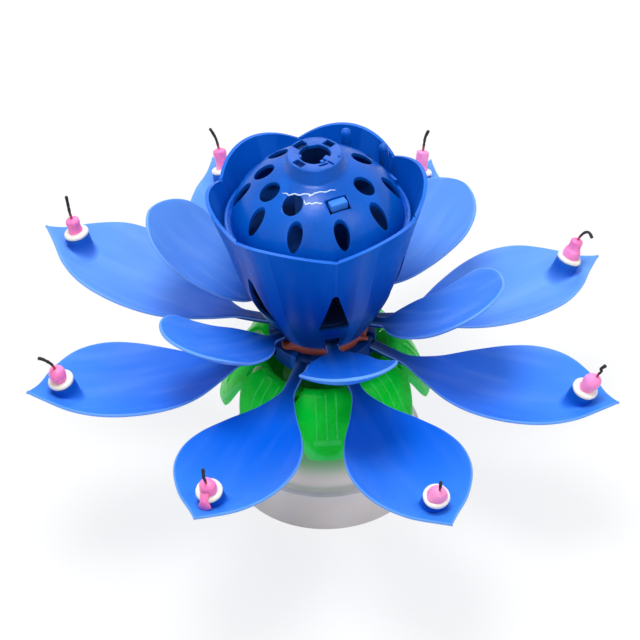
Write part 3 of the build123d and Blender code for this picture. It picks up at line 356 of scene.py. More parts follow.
def relief(tree, *layers):
    """Bumps over one another, each with its height, its real depth and its strength."""
    under = {}
    for height, depth, strength in layers:
        traits = {"Height": height, "Distance": depth, "Strength": strength}
        bump = add_node(tree, "ShaderNodeBump", {**traits, **under})
        under = {"Normal": bump}
    return bump


def distance_of(tree, first, second):
    """Distance from two values at a right angle."""
    squares = [add_node(tree, "ShaderNodeMath", (value, value), operation="MULTIPLY")
               for value in (first, second)]
    added = add_node(tree, "ShaderNodeMath", squares, operation="ADD")
    return add_node(tree, "ShaderNodeMath", (added,), operation="SQRT")


def folded_angle(tree, x, y, turn, count):
    """Angle from the nearest of a ring of even lines about Z, in degrees."""
    angle = add_node(tree, "ShaderNodeMath", (y, x), operation="ARCTAN2")
    degree = add_node(tree, "ShaderNodeMath", (angle, 180 / pi), operation="MULTIPLY")
    step = 360 / count
    moved = add_node(tree, "ShaderNodeMath", (degree, 720 + step / 2 - turn), operation="ADD")
    left = add_node(tree, "ShaderNodeMath", (moved, step), operation="MODULO")
    return add_node(tree, "ShaderNodeMath", (left, step / 2), operation="SUBTRACT")


def moulded_plastic(name, colour, shade, roughness, grain_size, translucence=0.0, shine=0.5):
    """Moulded plastic: an even colour that drifts a little, over a fine moulded grain."""
    material, tree = new_material(name)
    close_material(tree, {
        "Base Color": drifting(tree, 14 * MM, shade, colour),
        "Roughness": uneven(tree, 3 * MM, roughness - 0.05, roughness + 0.06),
        "Normal": relief(tree, (patches(tree, grain_size), 0.02 * MM, 0.5)),
        "IOR": 1.49, "Specular IOR Level": shine, "Subsurface Weight": translucence,
        "Subsurface Radius": (0.6, 0.8, 1.2), "Subsurface Scale": 1.0 * MM})
    return material


def sheet_metal(name, colour, shade, roughness, scratch_size):
    """Plated or rolled metal: hair-fine drawing lines along one way, with duller patches."""
    material, tree = new_material(name)
    lines = patches(tree, scratch_size, (1, 1, 0.08), 3.0)
    close_material(tree, {
        "Base Color": tinted(tree, shade, colour, 1.0, (patches(tree, 2.5 * MM), 0.3, 0.7)),
        "Metallic": 1.0,
        "Roughness": share_of(tree, 1.0, (lines, 0.3, 0.7, roughness - 0.06, roughness + 0.1)),
        "Normal": relief(tree, (lines, 0.01 * MM, 0.4))})
    return material


def blue_cup_moulding():
    """Satin blue polystyrene of the fixed cup: deep blue, darker to its foot as painted shade, with a
    painted highlight on the top of its rim, a paler painted highlight band in each lobe, and faint pale
    lines along the creases where two lobes meet."""
    material, tree = new_material("blue_polystyrene_cup")
    x, y, height = object_axes(tree)
    turn = folded_angle(tree, x, y, MIDDLE["turn"], MIDDLE["count"])
    spread = add_node(tree, "ShaderNodeMath", (turn,), operation="ABSOLUTE")
    normal = add_node(tree, "ShaderNodeNewGeometry").outputs["True Normal"]
    facing_up = add_node(tree, "ShaderNodeSeparateXYZ", (normal,)).outputs[2]
    crease = (spread, 1.1, 0.1)
    # Painted shade: the blue darkens towards the cup's foot
    tone = tinted(tree, "#00327A", "#0056BE", 1.0, (height, 70 * MM, 122 * MM))
    # Painted highlight: a paler band on one side of each lobe
    tone = tinted(tree, tone, "#1A6CD0", 0.35, (turn, 12.0, 14.0), (turn, 25.0, 23.0))
    tone = tinted(tree, tone, "#4C8EEA", 0.12, crease, (height, 92 * MM, 124 * MM))
    # Painted highlight on the upward faces of the rim
    tone = tinted(tree, tone, "#3C82F0", 0.35, (facing_up, 0.5, 0.8), (height, 120 * MM, 123 * MM))
    tone = tinted(tree, tone, "#2F7BEA", 0.12, (patches(tree, 10 * MM, (1, 1, 0.25)), 0.45, 0.75))
    edges = [share_of(tree, 1.0, edge) for edge in ((turn, 22.6, 24.2), crease)]
    edge = add_node(tree, "ShaderNodeMath", edges, operation="ADD")
    close_material(tree, {
        "Base Color": tone, "Roughness": uneven(tree, 4 * MM, 0.28, 0.38),
        "Normal": relief(tree, (edge, 0.12 * MM, 0.6), (patches(tree, 1.2 * MM), 0.012 * MM, 0.4)),
        "IOR": 1.5, "Specular IOR Level": 0.1})
    return material


def green_leaf_moulding():
    """Satin green polystyrene of the calyx: a fresh green, deeper near the shaft under the petals as painted
    shade, with painted highlights on the leaf rims and on fine ridge lines, which end at a line across the
    leaf."""
    material, tree = new_material("green_polystyrene_calyx")
    x, y, _ = object_axes(tree)
    reach = distance_of(tree, x, y)
    turn = folded_angle(tree, x, y, -90.0, CALYX_LEAVES)
    angle = add_node(tree, "ShaderNodeMath", (turn, pi / 180), operation="MULTIPLY")
    out, side = [
        add_node(tree, "ShaderNodeMath", (reach, add_node(tree, "ShaderNodeMath", (angle,), operation=wave)),
                 operation="MULTIPLY") for wave in ("COSINE", "SINE")]
    past = add_node(tree, "ShaderNodeMath", (out, LEAF_TIP_CENTRE), operation="SUBTRACT")
    from_tip = distance_of(tree, past, side)
    tone = drifting(tree, 9 * MM, "#00D22E", "#02DA38")
    # Painted shade: deeper green near the shaft, under the petals
    tone = tinted(tree, tone, "#04801A", 0.7, (reach, 24 * MM, 17 * MM))
    # Painted highlight on the rims of the leaves
    tone = tinted(tree, tone, "#4FE07A", 0.55, (from_tip, 12.1 * MM, 12.7 * MM), (past, 3 * MM, 6 * MM))
    off = add_node(tree, "ShaderNodeMath", (side,), operation="ABSOLUTE")
    beside, beyond = [
        add_node(tree, "ShaderNodeMath", (add_node(tree, "ShaderNodeMath", pair, operation="SUBTRACT"),),
                 operation="ABSOLUTE") for pair in ((off, RIDGE_STEP), (reach, RIDGE_END))]
    apart = add_node(tree, "ShaderNodeMath", (off, beside), operation="MINIMUM")
    lines = share_of(tree, 1.0, (apart, 0.5 * MM, 0.2 * MM), (out, 25 * MM, 28 * MM),
                     (reach, RIDGE_END + 0.5 * MM, RIDGE_END))
    across = share_of(tree, 1.0, (beyond, 0.45 * MM, 0.15 * MM), (off, 5.2 * MM, 4.8 * MM))
    ridges = add_node(tree, "ShaderNodeMath", (lines, across), operation="MAXIMUM")
    # Painted highlight along the ridge lines and the line across each leaf
    faint = add_node(tree, "ShaderNodeMath", (ridges, 0.3), operation="MULTIPLY")
    tone = tinted(tree, tone, "#5FE888", faint)
    close_material(tree, {
        "Base Color": tone, "Roughness": uneven(tree, 3 * MM, 0.2, 0.32),
        "Normal": relief(tree, (patches(tree, 2.2 * MM), 0.015 * MM, 0.5)),
        "IOR": 1.5, "Specular IOR Level": 0.1,
        "Subsurface Weight": 0.05, "Subsurface Radius": (0.3, 1.2, 0.4), "Subsurface Scale": 1.0 * MM})
    return material


def frosted_foot_moulding():
    """Frosted polypropylene foot: milky warm white, with painted green light from the leaves above it, a
    grey painted shade on its step and a paler painted highlight on a band just below."""
    material, tree = new_material("frosted_polypropylene_foot")
    height = object_axes(tree)[2]
    tone = drifting(tree, 18 * MM, "#F0E6DC", "#F6ECE2")
    # Painted light: green from the leaves above
    tone = tinted(tree, tone, "#5CB46A", 0.9, (height, 20 * MM, 30 * MM))
    # Painted shade on the step
    tone = tinted(tree, tone, "#92AE95", 0.5, (height, 15.2 * MM, 16.2 * MM), (height, 19.5 * MM, 17 * MM))
    # Painted highlight on the band just below the step
    tone = tinted(tree, tone, "#F0EBE8", 0.3, (height, 11.6 * MM, 13.2 * MM), (height, 15.4 * MM, 14.6 * MM))
    close_material(tree, {
        "Base Color": tone, "Roughness": uneven(tree, 3 * MM, 0.46, 0.58),
        "Normal": relief(tree, (patches(tree, 0.7 * MM), 0.02 * MM, 0.6)),
        "IOR": 1.49, "Specular IOR Level": 0.35,
        "Subsurface Weight": 0.2, "Subsurface Radius": (1.0, 1.0, 1.0), "Subsurface Scale": 2.0 * MM})
    return material


def socket_blue():
    """Pale blue polystyrene tube that holds the fountain candle: light where it shows through the holes,
    darkened by painted shade at its mouth inside the ring."""
    material, tree = new_material("blue_polystyrene_tube")
    height = object_axes(tree)[2]
    pale = drifting(tree, 6 * MM, "#6AAEFF", "#569CF8")
    # Painted shade: the tube darkens towards its mouth
    close_material(tree, {
        "Base Color": tinted(tree, pale, "#06265E", 1.0, (height, 127 * MM, 134 * MM)),
        "Roughness": uneven(tree, 6 * MM, 0.5, 0.62),
        "Normal": relief(tree, (patches(tree, 1.2 * MM), 0.02 * MM, 1.0)),
        "IOR": 1.5, "Specular IOR Level": 0.08})
    return material


def petal_blue():
    """Satin blue polystyrene petal: deep at the root as painted shade and paler to the tip as painted light,
    with a painted highlight on its thin edge, soft lengthwise streaks of painted sheen and a candle cup
    darkened by painted shade. The petals towards the back are paler with painted sheen."""
    material, tree = new_material("blue_polystyrene_petal")
    blade, rim = [
        add_node(tree, "ShaderNodeSeparateXYZ", (add_node(tree, "ShaderNodeUVMap", uv_map=title),)).outputs
        for title in ("blade", "rim")]
    along, across, inward, tube = blade[0], blade[1], rim[0], rim[1]
    toward_back = object_axes(tree)[1]
    stretched = [add_node(tree, "ShaderNodeMath", pair, operation="MULTIPLY")
                 for pair in ((along, 1.4), (across, 2.0))]
    lengthwise = add_node(tree, "ShaderNodeCombineXYZ", stretched)
    sheen_streaks = add_node(tree, "ShaderNodeTexNoise", {"Vector": lengthwise, "Scale": 1.6, "Detail": 1.0})
    fine = add_node(tree, "ShaderNodeTexNoise", {"Vector": lengthwise, "Scale": 9.0, "Detail": 2.0})
    # Painted shade: deep blue at the root
    tone = tinted(tree, "#002C68", "#0060DC", 1.0, (along, 0.02, 0.34))
    # Painted light: paler towards the tip
    tone = tinted(tree, tone, "#3A86F0", 1.0, (along, 0.35, 1.0))
    # Painted sheen: paler on the petals towards the back
    tone = tinted(tree, tone, "#78AEFC", 0.6, (toward_back, -54 * MM, 45 * MM), (along, 0.12, 0.5))
    # Painted sheen in lengthwise streaks on the petals towards the back
    tone = tinted(tree, tone, "#8AB6FA", 0.22, (sheen_streaks, 0.45, 0.75), (toward_back, -50 * MM, 0.0, 0.2, 1.0))
    # Painted shade on the candle cup
    tone = tinted(tree, tone, "#0054BE", tube)
    # Painted highlight on the thin edge
    tone = tinted(tree, tone, "#7DB0FA", 0.55, (inward, 0.1, 0.02))
    close_material(tree, {
        "Base Color": tone, "Roughness": uneven(tree, 5 * MM, 0.34, 0.44),
        "Normal": relief(tree, (fine, 0.03 * MM, 0.35), (patches(tree, 1.1 * MM), 0.015 * MM, 0.5)),
        "IOR": 1.5, "Specular IOR Level": 0.09})
    return material


def wick_cotton():
    """Burnt cotton wick: black and dull, red-brown and waxed at its root, with a lumpy char."""
    material, tree = new_material("burnt_cotton_wick")
    marks = add_node(tree, "ShaderNodeUVMap", uv_map="blade")
    along = add_node(tree, "ShaderNodeSeparateXYZ", (marks,)).outputs[0]
    char = patches(tree, 0.6 * MM)
    black = tinted(tree, "#121314", "#2A2B2C", char)
    close_material(tree, {
        "Base Color": tinted(tree, "#C24A5C", black, 1.0, (along, 0.12, 0.42)), "Roughness": 0.8,
        "Normal": relief(tree, (char, 0.12 * MM, 0.8))})
    return material


def painted_glint_white():
    """Painted glints: pale blue to white, standing for sharp highlights on the front of the dome."""
    material, tree = new_material("painted_glint_polystyrene")
    tone = tinted(tree, "#8FC0FF", "#FFFFFF", patches(tree, 0.8 * MM))
    close_material(tree, {"Base Color": tone, "Roughness": 0.2})
    return material


# Black acetal, moulded: dull sheen
black_plastic = moulded_plastic("black_acetal_moulded", "#17181A", "#101113", 0.4, 0.8 * MM)
# Dark blue polystyrene of the parts inside, moulded: dull
dark_plastic = moulded_plastic("dark_polystyrene_moulded", "#1C3E78", "#163266", 0.5, 0.8 * MM, 0.0, 0.3)
# Natural white acetal gears and seats, moulded: waxy white
white_plastic = moulded_plastic("natural_acetal_moulded", "#F4F1EA", "#E9E5DC", 0.35, 0.8 * MM, 0.1)
# Red-brown natural rubber band: dull, with a fine grain
rubber = moulded_plastic("natural_rubber_band", "#94402F", "#7E3226", 0.6, 0.4 * MM)
# Pink paraffin wax: soft and see-through at the edges
wax = moulded_plastic("pink_paraffin_wax", "#FF98D4", "#FA7CC0", 0.42, 0.9 * MM, 0.3)
# Solder mask on glass laminate: dark green varnish
board = moulded_plastic("green_solder_mask_laminate", "#0F5A32", "#0B4A28", 0.3, 0.5 * MM)
# Zinc plated steel screws and arbor: bright, with hair-fine lines
steel = sheet_metal("zinc_plated_steel", "#C9CCCF", "#AEB2B6", 0.3, 0.3 * MM)
# Nickel plated cell cans: smoother and warmer
nickel = sheet_metal("nickel_plated_can", "#D5D3CC", "#BDBBB4", 0.22, 0.3 * MM)
# Plain rolled brass sheet: yellow, with fine rolling lines
brass = sheet_metal("rolled_brass_sheet", "#D8B45A", "#B8923E", 0.32, 0.25 * MM)
# Satin blue polystyrene of the pierced pod: an even deep blue
pod_plastic = moulded_plastic("blue_polystyrene_pod", "#005AC4", "#0050B2", 0.28, 1.2 * MM, 0.0, 0.2)
# The same blue inside the pod, dull, and darker as painted shade because it lies in the dark
inner_plastic = moulded_plastic("blue_polystyrene_inner", "#0A3C8A", "#072E6C", 0.65, 1.2 * MM, 0.0, 0.05)
# Paler blue of the latch pad in the dome's window
latch_plastic = moulded_plastic("blue_polystyrene_latch", "#3C84EC", "#347AE2", 0.4, 1.2 * MM, 0.0, 0.15)
cup_plastic = blue_cup_moulding()
calyx_plastic = green_leaf_moulding()
foot_plastic = frosted_foot_moulding()
tube_plastic = socket_blue()
petal_plastic = petal_blue()
cotton = wick_cotton()
# Painted glints: the white of the jagged marks on the dome
painted_glint_plastic = painted_glint_white()

SLOT_MATERIALS = {
    "foot_frosted": foot_plastic,
    "flower_blue": cup_plastic,
    "calyx_green": calyx_plastic,
    "shaft_black": black_plastic,
    "inner_black": dark_plastic,
    "gear_white": white_plastic,
    "steel": steel,
    "cell_steel": nickel,
    "contact_brass": brass,
    "board_green": board,
    "band_rubber": rubber,
    "seat_white": white_plastic,
    "wax_pink": wax,
}


def dress(piece, material):
    """Gives a piece one material."""
    piece.data.materials.clear()
    piece.data.materials.append(material)


def stand_piece(name, mesh, material):
    """Puts a mesh in the scene as a piece of one material."""
    made = bpy.data.objects.new(name, mesh)
    bpy.context.scene.collection.objects.link(made)
    dress(made, material)
    return made


def point_outwards(mesh, merge=0.0):
    """Turns the faces of a closed mesh outwards, once points closer than merge are one."""
    work = bmesh.new()
    work.from_mesh(mesh)
    if merge:
        bmesh.ops.remove_doubles(work, verts=work.verts, dist=merge)
    bmesh.ops.recalc_face_normals(work, faces=work.faces)
    work.to_mesh(mesh)
    work.free()


def shade_smooth(piece, smooth=True):
    """Shades every face of a piece smooth or flat."""
    piece.data.polygons.foreach_set("use_smooth", [smooth] * len(piece.data.polygons))


def around(count):
    """Cosine and sine of even turns round a circle."""
    return [(cos(2 * pi * i / count), sin(2 * pi * i / count)) for i in range(count)]


class Shell:
    """Points, faces and material marks of one piece while it is made."""

    def __init__(self):
        self.points = []
        self.faces = []
        self.marks = []

    def skin(self, rings, marks=None, capped=True):
        """Closed skin over rings of equal count; each end is closed on its middle point."""
        start = len(self.points)
        count = len(rings[0])
        for row, ring in enumerate(rings):
            for place, point in enumerate(ring):
                self.points.append(Vector(point))
                self.marks.append(marks[row][place] if marks else (0, 0, 1, 0))
        for row in range(len(rings) - 1):
            for place in range(count):
                a = start + row * count + place
                b = start + row * count + (place + 1) % count
                self.faces.append((a, b, b + count, a + count))
        if capped:
            for row in (0, len(rings) - 1):
                ring = range(start + row * count, start + (row + 1) * count)
                middle = sum((self.points[i] for i in ring), Vector()) / count
                self.points.append(middle)
                self.marks.append(self.marks[ring[0]])
                hub = len(self.points) - 1
                for place in range(count):
                    self.faces.append((ring[place], ring[(place + 1) % count], hub))

    def move(self, matrix):
        """The same shell in another place."""
        moved = Shell()
        moved.points = [matrix @ point for point in self.points]
        moved.faces = self.faces
        moved.marks = self.marks
        return moved

    def join(self, other):
        """Adds another shell to this one."""
        start = len(self.points)
        self.points = self.points + other.points
        self.marks = self.marks + other.marks
        self.faces = self.faces + [tuple(i + start for i in face) for face in other.faces]

    def piece(self, name, material):
        """Object of the shell, smooth, with its marks in two maps."""
        mesh = bpy.data.meshes.new(name)
        mesh.from_pydata(self.points, [], self.faces)
        for title, pair in (("blade", (0, 1)), ("rim", (2, 3))):
            layer = mesh.uv_layers.new(name=title)
            for loop in mesh.loops:
                mark = self.marks[loop.vertex_index]
                layer.data[loop.index].uv = (mark[pair[0]], mark[pair[1]])
        point_outwards(mesh)
        made = stand_piece(name, mesh, material)
        shade_smooth(made)
        return made


def curve_point(a, b, leaving, arriving, t):
    """Point between two points on the curve that leaves the one and arrives at the other on given ways."""
    return (a * (1 + 2 * t) * (1 - t) ** 2 + b * t * t * (3 - 2 * t)
            + leaving * t * (1 - t) ** 2 - arriving * t * t * (1 - t))


def smooth_run(points, steps, last_way=None):
    """Smooth curve through plane points, with steps between neighbours."""
    points = [Vector(p) for p in points]
    gaps = [(b - a).length for a, b in zip(points, points[1:])]
    ways = [(b - a) / gap for a, b, gap in zip(points, points[1:], gaps)]
    slopes = [ways[0]]
    for before, after, gap_before, gap_after in zip(ways, ways[1:], gaps, gaps[1:]):
        slopes.append((before * gap_after + after * gap_before) / (gap_before + gap_after))
    slopes.append(Vector(last_way) if last_way else 2 * ways[-1] - slopes[-1])
    run = [points[0]]
    for a, b, gap, leaving, arriving in zip(points, points[1:], gaps, slopes, slopes[1:]):
        run += [curve_point(a, b, leaving * gap, arriving * gap, step / steps)
                for step in range(1, steps + 1)]
    return run


def flowing_run(path, start, steps=7):
    """Smooth run of points through a path in mm from a start."""
    points = [Vector(p) * MM + start for p in path]
    last = len(points) - 1
    run = []
    for index in range(last):
        a, b = points[index], points[index + 1]
        leaving = (b - points[max(index - 1, 0)]) / 2
        arriving = (points[min(index + 2, last)] - a) / 2
        run += [curve_point(a, b, leaving, arriving, step / steps) for step in range(steps)]
    run.append(points[-1])
    return run


def way_along(run, index):
    """Unit vector along a run at one of its points."""
    return (run[min(index + 1, len(run) - 1)] - run[max(index - 1, 0)]).normalized()


def bead(run, radius, wide=1.0, sides=10, swell=0.0):
    """Bead along a run of points about Z, with round ends. It can be wide and swell to a bulb."""
    rings = []
    for index, middle in enumerate(run):
        way = way_along(run, index)
        outward = Vector((middle.x, middle.y, hypot(middle.x, middle.y))).normalized()
        side = way.cross(outward).normalized() * wide
        other = side.cross(way).normalized()
        share = index / (len(run) - 1)
        close = max(min(1, 5 * share, 5 * (1 - share)), 0.03)
        bulb = 1 + swell * cos(2 * pi * (share - DRIP_BULB_SHARE))
        thick = radius * sqrt(close * (2 - close)) * bulb
        rings.append([middle + (side * across + other * up) * thick for across, up in around(sides)])
    return rings


def lathe(profile, count=32, wobble=0.0, seed=0.0):
    """Rings of a turned form about Z, each radius drifting a little where it wobbles."""
    rings = []
    for radius, level in profile:
        ring = []
        for x, y in around(count):
            drift = noise.noise(Vector((WOBBLE_ROUND * x, WOBBLE_ROUND * y, level / WOBBLE_HEIGHT + seed)))
            reach = max(radius, 0.01 * MM) * (1 + wobble * drift)
            ring.append(Vector((reach * x, reach * y, level)))
        rings.append(ring)
    return rings


def sheet_height(kind, x, y):
    """Height of the middle of a blade above its hinge, with a soft fold down its middle and flutes."""
    length, sag, cross = kind["length"], kind["sag"], kind["cross_radius"]
    long_radius = (length * length / 4 + sag * sag) / (2 * sag)
    rise = cross - sqrt(cross * cross - y * y)
    bowl = long_radius - sag - sqrt((long_radius - rise) ** 2 - (x - length / 2) ** 2)
    share = min(max(x / length, 0), 1)
    fade = sin(pi * share) ** 2
    across = abs(y) / kind["half_width"]
    fold = -FOLD_DEPTH * fade * FOLD_FALL ** (-abs(y) / FOLD_REACH)
    flute = FLUTE_DEPTH * fade * cos(pi * FLUTE_WAVES * across) * (1 - across)
    return bowl + fold + flute


def sheet_normal(kind, x, y):
    """Upward normal of a blade."""
    reach = 0.2 * MM
    slope_x = (sheet_height(kind, x + reach, y) - sheet_height(kind, x - reach, y)) / (2 * reach)
    slope_y = (sheet_height(kind, x, y + reach) - sheet_height(kind, x, y - reach)) / (2 * reach)
    return Vector((-slope_x, -slope_y, 1)).normalized()


def sheet_section(kind, x, section):
    """Ring of a blade's section at one place along it, from distances across and above its middle."""
    return [Vector((x, y, sheet_height(kind, x, y))) + sheet_normal(kind, x, y) * off for y, off in section]


def blade_section(width):
    """Section of a blade with rounded edges, as distances across and above its middle."""
    columns, turns = 18, 5
    half = BLADE_THICKNESS / 2
    round_edge = min(half, width)
    flat = width - round_edge
    section = [(-flat + 2 * flat * i / columns, half) for i in range(columns + 1)]
    section += [(flat + round_edge * cos(pi / 2 - pi * i / turns), half * sin(pi / 2 - pi * i / turns))
                for i in range(1, turns)]
    section += [(flat - 2 * flat * i / columns, -half) for i in range(columns + 1)]
    section += [(-flat - round_edge * sin(pi * i / turns), -half * cos(pi * i / turns))
                for i in range(1, turns)]
    return section


def stem_section(share):
    """Section of the stem below a blade's root, thinner and narrower to its end."""
    fade = min(1, (1 - share) * 4)
    deep = STEM_THICKNESS / 2 * fade + STEM_TIP_THICKNESS * (1 - fade)
    full = STEM_TIP_WIDTH_SHARE + (1 - STEM_TIP_WIDTH_SHARE) * min(1, (1 - share) * 5)
    wide = STEM_WIDTH / 2 * full - HAIR
    inner = wide - STEM_CORNER
    top = BLADE_THICKNESS / 2 * 0.6
    return ((-wide, 0), (-wide, -deep + STEM_CORNER), (-inner, -deep), (inner, -deep),
            (wide, -deep + STEM_CORNER), (wide, 0), (inner, top), (-inner, top))


def petal_shell(kind):
    """One petal: its blade, the thickened stem below its root, and its hinge barrel and pin."""
    length = kind["length"]
    side = [(length * along, kind["half_width"] * across) for along, across in kind["outline"]]
    root = (length * STEM_ROOT_SHARE, STEM_WIDTH / 4)
    last_way = None if kind["pointed"] else (0, -1)
    rings, marks = [], []
    for x, width in smooth_run([root] + side + [(length - TIP_GAP, 0)], 8, last_way):
        width = max(width, HAIR)
        if x < length * STEM_END_SHARE:
            width = max(width, STEM_WIDTH / 2)
        section = blade_section(width)
        rings.append(sheet_section(kind, x, section))
        marks.append([(x / length, y / kind["half_width"], min(width - abs(y), length - x) / RIM_REACH, 0)
                      for y, _ in section])
    shell = Shell()
    shell.skin(rings, marks)
    rings, marks = [], []
    stations = 14
    for index in range(stations + 1):
        share = index / stations
        x = length * (STEM_ROOT_SHARE + (STEM_END_SHARE - STEM_ROOT_SHARE) * share) + STEM_WIDTH / 2 * share
        section = stem_section(share)
        rings.append(sheet_section(kind, x, section))
        marks.append([(x / length, 0.1, 1, 0)] * len(section))
    shell.skin(rings, marks)
    for radius, width in HINGE_ROUNDS:
        ends = ((radius - HINGE_RIM, -width / 2), (radius, -width / 2 + HINGE_RIM),
                (radius, width / 2 - HINGE_RIM), (radius - HINGE_RIM, width / 2))
        shell.skin([[(r * x, y, r * z) for x, z in around(20)] for r, y in ends])
    return shell


def petal_place(kind, index):
    """Where a petal's hinge frame stands at rest."""
    azimuth = radians(kind["turn"] + 360 / kind["count"] * index)
    return (Matrix.Rotation(azimuth, 4, "Z") @ Matrix.Translation((kind["circle"], 0, kind["height"]))
            @ Matrix.Rotation(-radians(kind["rises"][index]), 4, "Y"))


def candle_place():
    """Where the candle stands in the frame of its petal."""
    x = OUTER["length"] * CANDLE_SHARE
    z = -4 * OUTER["sag"] * CANDLE_SHARE * (1 - CANDLE_SHARE)
    return Matrix.Translation((x, 0, z)) @ Matrix.Rotation(CANDLE_TILT, 4, "Y")


def candle_cup_shell():
    """Tube for the candle, tapered and flared softly onto the blade."""
    place = candle_place()
    bore = CANDLE_CUP_RADIUS - CANDLE_CUP_WALL
    inside = ((bore, 4.0, 0.0), (bore, 6.7, 0.0), (bore + 0.3 * MM, 7.0, 0.0))
    rings, marks = [], []
    for radius, level, draped in inside + tuple((r * MM, h, d) for r, h, d in CANDLE_CUP_ROWS):
        ring, ring_marks = [], []
        for x, y in around(48):
            free = place @ Vector((radius * x, radius * y, level * MM))
            foot = place @ Vector((radius * x, radius * y, 0))
            foot.z = sheet_height(OUTER, foot.x, foot.y) + BLADE_THICKNESS / 2 + level * MM
            ring.append(free.lerp(foot, draped))
            # The fourth mark sets how much painted shade the petal's material gives the candle cup
            ring_marks.append((CANDLE_SHARE, foot.y / OUTER["half_width"], 1, 0.9 * (1 - draped) + 0.02))
        rings.append(ring)
        marks.append(ring_marks)
    shell = Shell()
    shell.skin(rings, marks, capped=False)
    return shell


def seat_shell(index):
    """Seat disc of a candle with its plug, in the candle's frame."""
    plug = CANDLE_CUP_RADIUS - CANDLE_CUP_WALL - 0.1 * MM
    # Radius and level of the profile's corners from the cup's mouth
    corners = ((plug - 0.4 * MM, -3.6 * MM), (plug, -3.2 * MM), (plug, 0.0),
               (SEAT_RADIUS - 0.35 * MM, 0.0), (SEAT_RADIUS - 0.05 * MM, 0.25 * MM), (SEAT_RADIUS, 0.7 * MM),
               (SEAT_RADIUS - 0.15 * MM, 1.2 * MM), (SEAT_RADIUS - 0.6 * MM, 1.55 * MM),
               (SEAT_RADIUS - 1.2 * MM, SEAT_THICKNESS), (0.5 * MM, SEAT_THICKNESS))
    seat = Shell()
    seat.skin(lathe([(r, CANDLE_CUP_HEIGHT + z) for r, z in corners], 48, SEAT_WOBBLE, index))
    return seat


def stub_shell(index, seat_top):
    """Wax stub of a candle with its own burnt form, and the run of wax on the first one."""
    form, lean = STUBS[index]["form"], STUBS[index]["lean"]
    tall = form[-1][1]
    rings = []
    for ring in lathe([(r * MM, h * MM) for r, h in form], 32, STUB_WOBBLE, STUB_WOBBLE_STEP * index):
        rings.append([p + Vector((lean[0], lean[1], 0)) * MM * (p.z / (tall * MM)) + Vector((0, 0, seat_top))
                      for p in ring])
    smooth_rings = []
    for a, b in zip(rings, rings[1:]):
        smooth_rings += [[p.lerp(q, t / 3) for p, q in zip(a, b)] for t in range(3)]
    stub = Shell()
    stub.skin(smooth_rings + [rings[-1]])
    if index == 0:
        run = flowing_run(DRIP, Vector((0, 0, seat_top)))
        stub.skin(bead(run, DRIP_RADIUS, DRIP_WIDTH_SHARE, 14, DRIP_SWELL))
    return stub


def wick_shell(index, seat_top):
    """Thin wick along its path, thicker where it is charred."""
    lean = STUBS[index]["lean"]
    tall = STUBS[index]["form"][-1][1]
    run = flowing_run(WICKS[index], Vector((lean[0] * MM, lean[1] * MM, seat_top + tall * MM)))
    rings, marks = [], []
    sides = 10
    for place, middle in enumerate(run):
        way = way_along(run, place)
        side = way.cross(Vector((1, 0.2, 0))).normalized()
        other = way.cross(side)
        share = place / (len(run) - 1)
        lump = noise.noise(middle / WICK_LUMP_SIZE)
        end = WICK_END_SHARE if share == 1 else 1
        radius = (WICK_RADIUS + WICK_GAIN * share + WICK_LUMP * lump) * MM * end
        rings.append([middle + (side * x + other * y) * radius for x, y in around(sides)])
        marks.append([(share, i / sides, 1, 0) for i in range(sides)])
    shell = Shell()
    shell.skin(rings, marks)
    return shell


def make_petals():
    """Eight outer petals with their candles, and six middle petals."""
    outer = petal_shell(OUTER)
    outer.join(candle_cup_shell())
    seat_top = CANDLE_CUP_HEIGHT + SEAT_THICKNESS
    for index in range(OUTER["count"]):
        number = index + 1
        place = petal_place(OUTER, index)
        stand = place @ candle_place()
        seat, stub, wick = seat_shell(index), stub_shell(index, seat_top), wick_shell(index, seat_top)
        made = ((outer.move(place), "petal_outer", petal_plastic, "outer_petal", "flower_blue"),
                (seat.move(stand), "seat", white_plastic, "candle_seat", "seat_white"),
                (stub.move(stand), "stub", wax, "candle", "wax_pink"),
                (wick.move(stand), "wick", cotton, "candle", "wax_pink"))
        for shell, title, material, node, slot_name in made:
            piece = shell.piece(f"{title}_{number}", material)
            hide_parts(f"{node}_{number}")
            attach(piece, f"outer_{number}")
    middle = petal_shell(MIDDLE)
    for index in range(MIDDLE["count"]):
        piece = middle.move(petal_place(MIDDLE, index)).piece(f"petal_middle_{index + 1}", petal_plastic)
        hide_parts(f"middle_petal_{index + 1}")
        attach(piece, f"middle_{index + 1}")


def bake(piece):
    """Plain mesh of a piece with its modifiers applied, as a new piece of the same name."""
    mesh = bpy.data.meshes.new_from_object(piece.evaluated_get(bpy.context.evaluated_depsgraph_get()))
    name = piece.name
    materials = [slot.material for slot in piece.material_slots]
    old = piece.data
    bpy.data.objects.remove(piece)
    bpy.data.meshes.remove(old)
    mesh.name = name
    made = bpy.data.objects.new(name, mesh)
    if not mesh.materials:
        for material in materials:
            mesh.materials.append(material)
    bpy.context.scene.collection.objects.link(made)
    return made


